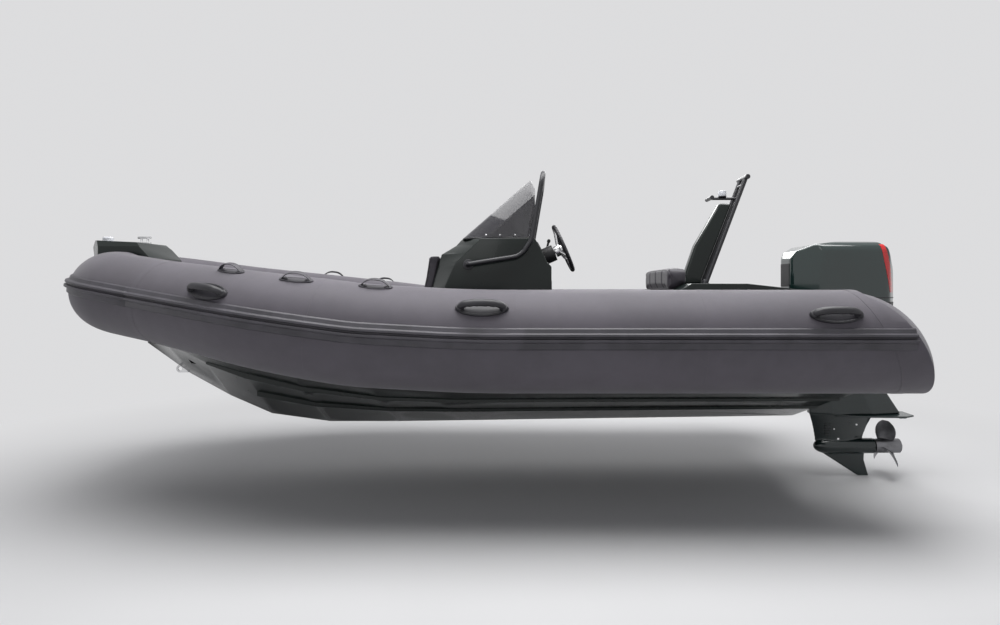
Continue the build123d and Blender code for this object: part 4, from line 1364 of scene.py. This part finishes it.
@dataclass
class Upholstery:
    """The cushions and back pads, blown up by cloth simulation, then sewn and piped."""

    shop: Shop
    voxel: float = 0.008
    frames: int = 20
    pressure: float = 4.0
    welt: float = 0.0035
    welt_points: int = 56
    # how far the welt keeps in from the pad's sides, and how square its line is
    welt_inset: float = 0.012
    welt_square: float = 5.0
    channel_depth: float = 0.009
    channel_width: float = 0.011
    margin: float = 0.004
    pads: tuple[Pad, ...] = (
        Pad("bench_cushion", "bench_seat", (-0.37, 0.0, 0.37), 1, 2, 1.0, 0.8),
        Pad("backrest_pad", "hull", (-0.22, 0.0, 0.22), 1, 0, -1.0, 0.8),
        Pad("console_pad", "hull", (-0.065, 0.065), 1, 0, -1.0, 0.8),
    )

    def blow(self, piece: bpy.types.Object, cap: float) -> None:
        """Swell a pad as cloth under pressure, each point held within a cap of its start."""
        shop = self.shop
        start = [vertex.co.copy() for vertex in piece.data.vertices]
        shop.alone(piece)
        cloth = piece.modifiers.new("cloth", "CLOTH")
        cloth.settings.use_pressure = True
        cloth.settings.uniform_pressure_force = self.pressure
        cloth.settings.quality = 4
        cloth.settings.effector_weights.gravity = 0.0
        cloth.settings.tension_stiffness = 20.0
        cloth.settings.compression_stiffness = 20.0
        cloth.settings.bending_stiffness = 0.6
        cloth.point_cache.frame_start = 1
        cloth.point_cache.frame_end = self.frames
        scene = bpy.context.scene
        for number in range(1, self.frames + 1):
            scene.frame_set(number)
        bpy.ops.object.modifier_apply(modifier=cloth.name)
        scene.frame_set(1)
        for vertex, place in zip(piece.data.vertices, start):
            move = vertex.co - place
            if move.length > cap:
                vertex.co = place + move.normalized() * cap

    def inside(self, piece: bpy.types.Object, pad: Pad) -> None:
        """Keep the swollen pad off what it rests on: no point passes its node's box."""
        low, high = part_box(pad.node)
        for vertex in piece.data.vertices:
            for axis in range(3):
                over = self.margin if axis in (pad.face_axis, 1) else 0.0
                vertex.co[axis] = min(max(vertex.co[axis], low[axis] - over), high[axis] + over)

    def sew(self, piece: bpy.types.Object, pad: Pad) -> None:
        """Press the sewn channels into the pad's face."""
        low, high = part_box(pad.node)
        middle = (low[1] + high[1]) / 2
        for vertex in piece.data.vertices:
            normal = vertex.normal[pad.face_axis] * pad.face_sign
            if normal < 0.2:
                continue
            for place in pad.channels:
                gap = vertex.co[pad.channel_axis] - middle - place
                share = math.exp(-((gap / self.channel_width) ** 2))
                dip = self.channel_depth * share * min(1.0, normal)
                vertex.co[pad.face_axis] -= dip * pad.face_sign

    def piping(self, piece: bpy.types.Object, pad: Pad) -> bpy.types.Object:
        """A welt cord round the rim of the pad's face."""
        shop = self.shop
        low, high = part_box(pad.node)
        tree = BVHTree.FromObject(piece, bpy.context.evaluated_depsgraph_get())
        across, along = [axis for axis in range(3) if axis != pad.face_axis]
        centre = (low + high) / 2
        half = (high - low) / 2
        way = Vector((0, 0, 0))
        way[pad.face_axis] = -pad.face_sign
        points = []
        for step in range(self.welt_points):
            turn = 2 * math.pi * step / self.welt_points
            square = self.welt_square
            reach = (abs(math.cos(turn)) ** square + abs(math.sin(turn)) ** square) ** (-1 / square)
            aim = centre - way * 0.3
            aim[across] += math.cos(turn) * reach * (half[across] - self.welt_inset)
            aim[along] += math.sin(turn) * reach * (half[along] - self.welt_inset)
            hit = tree.ray_cast(aim, way)[0]
            if hit is not None:
                points.append(tuple(hit - way * self.welt * 0.2))
        return shop.smooth(shop.bar("welt", points, self.welt, closed=True), 70.0)

    def start_form(self, pad: Pad) -> bpy.types.Object:
        """A pad's node a little smaller, for the cloth to swell to its size."""
        piece = self.shop.merged(pad.node, pad.node + "_soft")
        low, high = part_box(pad.node)
        centre = (low + high) / 2
        for vertex in piece.data.vertices:
            for axis in range(3):
                half = (high[axis] - low[axis]) / 2
                off = vertex.co[axis] - centre[axis]
                vertex.co[axis] = centre[axis] + off * (1 - pad.shrink / half)
        return piece

    def build(self) -> None:
        """Make every pad."""
        shop = self.shop
        for pad in self.pads:
            piece = self.start_form(pad)
            shop.alone(piece)
            piece.data.remesh_voxel_size = self.voxel
            bpy.ops.object.voxel_remesh()
            shop.modify(piece, "SMOOTH", factor=0.5, iterations=10)
            self.blow(piece, pad.cap)
            self.inside(piece, pad)
            self.sew(piece, pad)
            shop.modify(piece, "SMOOTH", factor=0.5, iterations=4)
            shop.modify(piece, "SUBSURF", levels=1, render_levels=1)
            welt = self.piping(piece, pad)
            shop.alone(piece)
            bpy.ops.object.shade_smooth()
            piece = shop.join(pad.node + "_soft", [piece, welt])
            shop.done(piece, pad.body, "cushion_vinyl", pad.node)


@dataclass
class Helm:
    """The console with its screen, rail, wheel, dials and engine control."""

    shop: Shop
    half_width: float = 0.36
    # the screen's foot: half width, height, and its line as x and distance in from the side
    screen_half: float = 0.338
    foot_z: float = 0.955
    foot_line: tuple[Flat, ...] = ((0.0, 0.0), (-0.33, 0.0), (-0.47, 0.085), (-0.486, 0.135))
    seal_r: float = 0.0065
    screw_x: tuple[float, ...] = (-0.03, -0.13, -0.23, -0.32)
    screw_rise: float = 0.022
    screw_r: float = 0.0075
    # the dash: a place on it, and the way it looks
    dash_place: Point = (0.02, 0.0, 0.912)
    dash_normal: Point = (0.893, 0.0, 0.449)
    dials: tuple[float, ...] = (-0.104, 0.104)
    dial_r: float = 0.0285
    dial_z: float = 0.0112
    ticks: int = 13
    tick_sweep: Flat = (225.0, 22.5)
    rockers: tuple[float, ...] = (-0.045, -0.015, 0.015, 0.045)
    wheel_place: Point = (0.2, 0.0, 0.91)
    wheel_lean: float = 24.0
    wheel_r: float = 0.165
    rim_r: float = 0.0128
    beads: int = 48
    # the rail's forward foot and its clamp, as x and z; reach and radius of the flanges
    rail_foot: Flat = (-0.435, 0.783)
    rail_clamp: Flat = (-0.06, 0.884)
    flanges: tuple[Flat, ...] = ((0.006, 0.034), (0.02, 0.021))
    # the access hatch on the console's aft face: corners, latch height, hinge line
    hatch: tuple[Point, Point] = ((0.1075, -0.2, 0.29), (0.114, 0.2, 0.68))
    latch_z: float = 0.645
    hinge_line: Flat = (0.1155, 0.288)
    hinges: tuple[float, ...] = (-0.13, 0.13)

    def dash(self) -> Matrix:
        """A frame on the dash: X to starboard, Y up it, Z out."""
        out = Vector(self.dash_normal).normalized()
        across = Vector((0, 1, 0))
        columns = Matrix((across, out.cross(across), out)).transposed()
        return Matrix.Translation(Vector(self.dash_place)) @ columns.to_4x4()

    def dial(self, y: float) -> tuple[list[bpy.types.Object], list[bpy.types.Object]]:
        """One dial at y.

        Args:
            y: Its place across the dash.

        Returns:
            The dark parts and the white ones.
        """
        shop, top = self.shop, self.dial_z
        face = shop.stud("dial", (y, 0, 0.0101), (y, 0, top), self.dial_r, 0.0003, 2, 56)
        marks = []
        for number in range(self.ticks):
            turn = math.radians(self.tick_sweep[0] - number * self.tick_sweep[1])
            length = 0.0055 if number % 3 == 0 else 0.003
            tick = shop.block("tick", (-0.0005, -length, 0.0111), (0.0005, 0, 0.0117))
            reach = Matrix.Translation((y, 0, 0)) @ Matrix.Rotation(turn - math.pi / 2, 4, "Z")
            tick.data.transform(reach @ Matrix.Translation((0, self.dial_r - 0.002, 0)))
            marks.append(tick)
        start, end = (y, 0, 0.0125), (y - 0.012, 0.014, 0.0125)
        marks.append(shop.rod("needle", start, end, 0.0009, 8, 0.0004))
        marks.append(shop.stud("hub", (y, 0, 0.011), (y, 0, 0.0142), 0.0028, 0.0004, 2, 24))
        return [face], marks

    def rocker(self, x: float) -> tuple[bpy.types.Object, bpy.types.Object]:
        """One rocker switch and its lamp at x."""
        shop = self.shop
        half, low, high = (0.0095, 0.012), 0.0088, 0.0135
        key = shop.block("rocker", (x - half[0], -half[1], low), (x + half[0], half[1], high))
        shop.round_off(shop.pressed(key, 2, 0.002, 0.0018), 0.0006, 2)
        lamp = shop.rod("rocker_lamp", (x, 0.0075, 0.015), (x, 0.0075, 0.0158), 0.0016, 16)
        return key, lamp

    def instruments(self) -> None:
        """Two dials with ticks and a needle each, and a row of rocker switches."""
        shop, frame = self.shop, self.dash()
        faces, marks = [], []
        for y in self.dials:
            dark, white = self.dial(y)
            faces += dark
            marks += white
        for x in self.rockers:
            key, lamp = self.rocker(x)
            faces.append(key)
            marks.append(lamp)
        for name, parts, slot in (
            ("dial_faces", faces, "black_plastic"),
            ("dial_marks", marks, "lamp_white"),
        ):
            piece = shop.join(name, parts)
            piece.data.transform(frame)
            shop.done(piece, "hull", slot)

    def screen(self) -> None:
        """The smoked screen with a rubber seal at its foot and fixing screws."""
        shop, half = self.shop, self.screen_half
        shop.rounded("windscreen", 0.0012)
        line = [(x, inset - half) for x, inset in self.foot_line]
        line += [(x, -y) for x, y in reversed(line)]
        seal = shop.bar("screen_seal", [(x, y, self.foot_z + 0.004) for x, y in line], self.seal_r)
        shop.smooth(seal, 60.0)
        screws = []
        z, radius = self.foot_z + self.screw_rise, self.screw_r
        for side, _ in SIDES:
            for x in self.screw_x:
                start, end = (x, side * (half - 0.001), z), (x, side * (half + 0.0035), z)
                screws.append(shop.stud("screw", start, end, radius, 0.0008, 2, 20, 0.004))
        shop.done(seal, "hull", "black_plastic")
        shop.done(shop.join("screen_screws", screws), "hull", "stainless")

    def rail(self) -> None:
        """The grab rail with flanges at its feet and clamps at the console."""
        shop = self.shop
        shop.rounded("console_rail", 0.0)
        parts = []
        (x, z), (clamp_x, clamp_z) = self.rail_foot, self.rail_clamp
        for side, _ in SIDES:
            y = side * self.half_width
            for reach, wide in self.flanges:
                start, end = (x, y, z), (x, y + side * reach, z)
                parts.append(shop.stud("flange", start, end, wide, 0.002, 3, 32))
            start, end = (clamp_x, y, clamp_z), (clamp_x, y + side * 0.04, clamp_z)
            parts.append(shop.stud("clamp", start, end, 0.017, 0.003, 3, 32))
        shop.done(shop.join("rail_feet", parts), "hull", "rail_black")

    def wheel(self) -> None:
        """The steering wheel: bright spokes, a boss cap and a padded rim with grip rings."""
        shop = self.shop
        spokes = shop.merged("steering_wheel", "steering_wheel_form")
        shop.round_off(spokes, 0.0025, 3)
        shop.done(spokes, "helm_wheel", "stainless", "steering_wheel")
        lean = math.radians(self.wheel_lean)
        axis = Vector((math.cos(lean), 0.0, math.sin(lean)))
        centre = Vector(self.wheel_place)
        across = Vector((0, 1, 0))
        rings = [shop.smooth(shop.merged("wheel_rim", "wheel_rim_form"), 70.0)]
        for number in range(self.beads):
            turn = 2 * math.pi * number / self.beads
            out = axis.cross(across) * math.cos(turn) + across * math.sin(turn)
            place = centre + out * self.wheel_r
            bead = shop.ring("bead", place, axis.cross(out), self.rim_r, 0.0016, 28)
            rings.append(shop.smooth(bead, 80.0))
        shop.done(shop.join("wheel_rim_form", rings), "helm_wheel", "handle_rubber", "wheel_rim")
        start, end = centre - axis * 0.012, centre - axis * 0.002
        cap = shop.stud("boss_cap", start, end, 0.031, 0.003, 3, 48, 0.026)
        shop.done(cap, "helm_wheel", "black_plastic")

    def body(self) -> None:
        """The console's moulding with its access hatch, latch and hinges."""
        shop = self.shop
        shop.rounded("console_body", 0.012, 3)
        hatch = shop.pressed(shop.block("console_hatch", *self.hatch), 0, 0.028, -0.0035)
        shop.round_off(hatch, 0.0025, 3)
        start, end = (0.112, 0.0, self.latch_z), (0.1185, 0.0, self.latch_z)
        latch = shop.rod("hatch_latch", start, end, 0.026, 40, 0.024)
        fittings = [shop.round_off(shop.pressed(latch, 0, 0.008, -0.003), 0.0008, 2)]
        x, z = self.hinge_line
        for y in self.hinges:
            start, end = (x, y - 0.03, z), (x, y + 0.03, z)
            fittings.append(shop.stud("hatch_hinge", start, end, 0.006, 0.001, 2, 32))
        shop.done(hatch, "hull", "hull_gelcoat")
        shop.done(shop.join("hatch_fittings", fittings), "hull", "black_plastic")
        shop.rounded("gauge_panel", 0.0012)
        shop.rounded("helm_hub", 0.003, 3)
        shop.rounded("throttle_control", 0.003, 3)

    def build(self) -> None:
        """Make the whole helm."""
        self.body()
        self.screen()
        self.rail()
        self.wheel()
        self.instruments()


@dataclass
class Hull:
    """The hull, its decks, the bow's fittings, the bench's box and the aft moulding."""

    shop: Shop
    # each node with the width and the steps of its rounded edges
    edges: tuple[tuple[str, float, int], ...] = (
        ("hull_shell", 0.004, 2),
        ("cockpit_deck", 0.003, 2),
        ("bow_deck", 0.004, 2),
        ("bow_hatch", 0.004, 3),
        ("bow_step", 0.012, 4),
        ("bow_light", 0.004, 3),
        ("bow_cleat", 0.002, 3),
        ("bow_eye", 0.0025, 3),
        ("transom_eyes", 0.0025, 3),
        ("bench_base", 0.008, 3),
        ("bench_lid", 0.002, 2),
        ("aft_deck", 0.018, 4),
    )
    latch_x: float = -1.696
    latches: tuple[float, ...] = (-0.12, 0.12)
    hatch_top: float = 0.472
    treads: tuple[float, ...] = (-2.95, -2.915, -2.88, -2.845, -2.81)
    tread_half: Flat = (0.006, 0.085)
    floor: float = 0.2
    # grip panels: their ends along X and their edges across Y
    panels: tuple[tuple[Flat, Flat], ...] = (
        ((-1.42, -0.80), (-0.44, 0.44)),
        ((-0.74, 0.08), (-0.62, -0.40)),
        ((-0.74, 0.08), (0.40, 0.62)),
        ((0.15, 0.40), (-0.55, 0.55)),
    )
    drain_x: float = 1.78
    drains: tuple[float, ...] = (-0.3, 0.3)

    def hatch_latches(self) -> None:
        """Flush latches with a lift ring on the bow hatch."""
        shop, x, top = self.shop, self.latch_x, self.hatch_top
        parts = []
        for y in self.latches:
            cup = shop.rod("cup", (x, y, top - 0.002), (x, y, top + 0.003), 0.03, 48, 0.028)
            parts.append(shop.round_off(shop.pressed(cup, 2, 0.006, -0.003), 0.0006, 2))
            parts.append(shop.ring("latch_ring", (x, y, top + 0.0025), (0, 0, 1), 0.017, 0.0022))
        shop.done(shop.join("hatch_latches", parts), "bow_hatch", "stainless")

    def step_treads(self) -> None:
        """Raised grip bars across the bow step's top."""
        shop, (half_x, half_y) = self.shop, self.tread_half
        hit = shop.probe("bow_step_form")
        bars = []
        for x in self.treads:
            top = hit((x, 0.05, 1.2), (0, 0, -1))
            if top is not None:
                low = (x - half_x, -half_y, top.z - 0.002)
                high = (x + half_x, half_y, top.z + 0.0022)
                bars.append(shop.round_off(shop.block("tread", low, high), 0.0012, 2))
        shop.done(shop.join("step_treads", bars), "hull", "black_plastic")

    def deck_trim(self) -> None:
        """Grip panels on the cockpit floor and drains at its aft corners."""
        shop, floor = self.shop, self.floor

        def upright(edge: bmesh.types.BMEdge) -> bool:
            """Whether an edge stands up, as a panel's corners do."""
            return abs(edge.verts[0].co.z - edge.verts[1].co.z) > 0.001

        panels = []
        for (x0, x1), (y0, y1) in self.panels:
            panel = shop.block("panel", (x0, y0, floor - 0.0005), (x1, y1, floor + 0.0035))
            with shop.editing(panel, upright, Pick.EDGES):
                bpy.ops.mesh.bevel(offset=0.03, segments=6, affect="EDGES")
            panels.append(shop.round_off(panel, 0.0012, 2))
        shop.done(shop.join("grip_panels", panels), "hull", "deck_grip")
        drains = []
        for y in self.drains:
            start, end = (self.drain_x, y, floor - 0.002), (self.drain_x, y, floor + 0.004)
            drain = shop.rod("drain", start, end, 0.032, 40, 0.029)
            drains.append(shop.round_off(shop.pressed(drain, 2, 0.008, -0.004), 0.0006, 2))
        shop.done(shop.join("deck_drains", drains), "hull", "stainless")

    def build(self) -> None:
        """Make the hull's pieces."""
        for node, width, segments in self.edges:
            self.shop.rounded(node, width, segments)
        self.hatch_latches()
        self.step_treads()
        self.deck_trim()


@dataclass
class Mast:
    """The tow mast: its fin, posts, bars and light."""

    shop: Shop
    # where the posts meet the moulding, as x and z; half the space between them
    foot: Flat = (1.184, 0.657)
    post_half: float = 0.06
    light: Point = (1.325, 0.0, 1.2943)
    light_r: float = 0.0285

    def build(self) -> None:
        """Make the mast with the sockets of its posts and the lamp's base and cap."""
        shop = self.shop
        shop.rounded("mast_fin", 0.016, 5)
        shop.rounded("mast_frame", 0.0)
        shop.rounded("mast_light", 0.005, 4)
        parts = []
        x, z = self.foot
        for side, _ in SIDES:
            y = side * self.post_half
            start, end = (x, y, z - 0.0005), (x, y, z + 0.008)
            parts.append(shop.stud("socket", start, end, 0.034, 0.002, 3, 32))
            start, end = (x, y, z), (x + 0.012, y, z + 0.028)
            parts.append(shop.stud("socket", start, end, 0.021, 0.002, 3, 32))
        x, y, z = self.light
        start, end = (x, y, z - 0.0225), (x, y, z - 0.014)
        parts.append(shop.stud("lamp_base", start, end, self.light_r, 0.0015, 2))
        start, end = (x, y, z + 0.013), (x, y, z + 0.0226)
        parts.append(shop.stud("lamp_cap", start, end, self.light_r, 0.003, 3, 48, 0.024))
        shop.done(shop.join("mast_sockets", parts), "hull", "rail_black")


@dataclass
class Outboard:
    """The outboard engine: its cover, leg, gearcase, brackets and propeller."""

    shop: Shop
    front: float = 1.77
    rear: float = 2.455
    bottom: float = 0.5
    seam_z: float = 0.565
    # the red strip's edges in the side view and its ends up and down
    strip_left: tuple[Flat, Flat] = ((2.322, 0.915), (2.386, 0.61))
    strip_right: tuple[Flat, Flat] = ((2.352, 0.915), (2.434, 0.61))
    strip_z: Flat = (0.60, 0.925)
    strip_in: float = 0.12
    # panels at the tail and the nose: depth along X, range up, half width
    tail: tuple[float, Flat, float] = (0.07, (0.62, 0.86), 0.125)
    nose: tuple[float, Flat, float] = (0.012, (0.64, 0.80), 0.075)
    # nodes cast or moulded: voxel and rounds of smoothing
    castings: tuple[tuple[str, float, int], ...] = (
        ("engine_leg", 0.007, 6),
        ("engine_pan", 0.005, 8),
        ("gearcase", 0.0044, 3),
    )
    edges: tuple[tuple[str, float, int], ...] = (
        ("trim_tab", 0.002, 3),
        ("propeller", 0.0007, 2),
        ("engine_block", 0.01, 3),
        ("clamp_bracket", 0.004, 3),
        ("swivel_bracket", 0.004, 3),
    )
    # x, z and radius of each screw on the gearcase's sides
    screws: tuple[Point, ...] = ((2.13, -0.43, 0.009), (2.26, -0.33, 0.008), (2.1, -0.36, 0.006))
    intake: Flat = (2.06, -0.40)
    intake_half: Flat = (0.025, 0.003)
    intake_pitch: float = 0.018
    intake_slots: int = 5
    shaft_end: Flat = (2.572, -0.485)

    @staticmethod
    def edge(line: tuple[Flat, Flat], aft: float) -> tuple[Point, Point]:
        """A plane through a line of the side view, its normal forward or aft."""
        (x0, z0), (x1, z1) = line
        normal = Vector((z0 - z1, 0.0, x1 - x0)).normalized() * aft
        return (x0, 0.0, z0), tuple(normal)

    def laid_on(
        self, cover: bpy.types.Object, name: str, planes: Planes, lift: float
    ) -> bpy.types.Object:
        """A strip that lies on the cover between planes."""
        copy = self.shop.placed(cover, name, Matrix())
        return self.shop.skin(copy, planes, lift)

    @staticmethod
    def between(low: float, high: float) -> Planes:
        """The level planes under and over a range."""
        return [((0, 0, low), (0, 0, -1)), ((0, 0, high), (0, 0, 1))]

    def panel(self, x: float, way: float, height: Flat, half: float) -> Planes:
        """The planes round a panel at one end of the cover.

        Args:
            x: Where it starts.
            way: -1 if it lies aft of x, 1 if forward.
            height: Its range up.
            half: Its half width.

        Returns:
            A point and an outward normal of each plane.
        """
        sides = [((0, side * half, 0), (0, side, 0)) for side in (1, -1)]
        return [((x, 0, 0), (way, 0, 0)), *self.between(*height), *sides]

    def cover(self) -> None:
        """The cover with its seam, its nose panel, tail insert, skirt, latch and red strips."""
        shop = self.shop
        cover = shop.moulded("cowl", 0.006, 16)
        strips = []
        for side, _ in SIDES:
            planes = [self.edge(self.strip_left, -1.0), self.edge(self.strip_right, 1.0)]
            planes += self.between(*self.strip_z)
            planes.append(((0, side * self.strip_in, 0), (0, -side, 0)))
            strips.append(self.laid_on(cover, "strip", planes, 0.0016))
        shop.done(shop.join("cowl_strips", strips), "engine", "accent_red")
        (tail, *tail_size), (nose, *nose_size) = self.tail, self.nose
        seam, skirt = self.between(self.seam_z - 0.003, self.seam_z + 0.003), self.seam_z - 0.028
        for name, planes, lift in (
            ("cowl_tail", self.panel(self.rear - tail, -1, *tail_size), 0.003),
            ("cowl_nose", self.panel(self.front + nose, 1, *nose_size), 0.003),
            ("cowl_seam", seam, 0.0018),
            ("cowl_skirt", self.between(self.bottom + 0.006, skirt)[::-1], 0.003),
        ):
            shop.done(self.laid_on(cover, name, planes, lift), "engine", "black_plastic")
        low, high = (self.rear - 0.022, -0.035, 0.515), (self.rear - 0.006, 0.035, 0.552)
        lever = shop.round_off(shop.block("cover_latch", low, high), 0.004, 4)
        shop.done(lever, "engine", "black_plastic")

    def gearcase_trim(self) -> None:
        """Screws and the water intake's slots on both sides of the gearcase."""
        shop = self.shop
        hit = shop.probe("gearcase_form")
        screws, slots = [], []

        def spots(x: float, z: float) -> Iterator[tuple[Vector, Vector]]:
            """The skin at x and z on both sides, with the way out of it."""
            for side, _ in SIDES:
                away = Vector((0, -side, 0))
                spot = hit((x, side * 0.4, z), away)
                if spot is not None:
                    yield spot, away * 0.002

        for x, z, size in self.screws:
            for spot, off in spots(x, z):
                start, end = spot + off, spot - off
                screws.append(shop.stud("screw", start, end, size, 0.0006, 2, 24, size * 0.8))
        x, low_z = self.intake
        half_x, half_z = self.intake_half
        for number in range(self.intake_slots):
            z = low_z + number * self.intake_pitch
            for spot, _ in spots(x, z):
                low = (x - half_x, spot.y - 0.003, z - half_z)
                high = (x + half_x, spot.y + 0.003, z + half_z)
                slots.append(shop.round_off(shop.block("intake", low, high), 0.001, 2))
        shop.done(shop.join("gearcase_screws", screws), "engine", "stainless")
        shop.done(shop.join("water_intake", slots), "engine", "black_plastic")

    def hub(self) -> None:
        """The propeller's washer, nut and shaft end."""
        shop, (x, z) = self.shop, self.shaft_end
        # name, start and end behind the hub, radius, sides
        parts = [
            shop.stud(name, (x + start, 0, z), (x + end, 0, z), radius, 0.0012, 2, sides)
            for name, start, end, radius, sides in (
                ("washer", -0.001, 0.003, 0.03, 40),
                ("nut", 0.002, 0.018, 0.019, 6),
                ("shaft_end", 0.015, 0.026, 0.009, 24),
            )
        ]
        shop.done(shop.join("propeller_nut", parts), "propeller", "stainless")

    def build(self) -> None:
        """Make the whole engine."""
        self.cover()
        for node, voxel, rounds in self.castings:
            self.shop.moulded(node, voxel, rounds)
        for node, width, segments in self.edges:
            self.shop.rounded(node, width, segments)
        self.gearcase_trim()
        self.hub()


def main() -> None:
    """Build the boat's pieces in order."""
    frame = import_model()
    bpy.ops.object.select_all(action="DESELECT")
    palette = Palette()
    Studio().build()
    shop = Shop(frame, palette)
    for node, slot in shop.slot_of.items():
        palette.dress(frame["nodes"][node], slot)
    LOG.info("dressed %d nodes", len(frame["nodes"]))
    for assembly in (Collar, Upholstery, Helm, Hull, Mast, Outboard):
        assembly(shop).build()


if __name__ == "__main__":
    main()
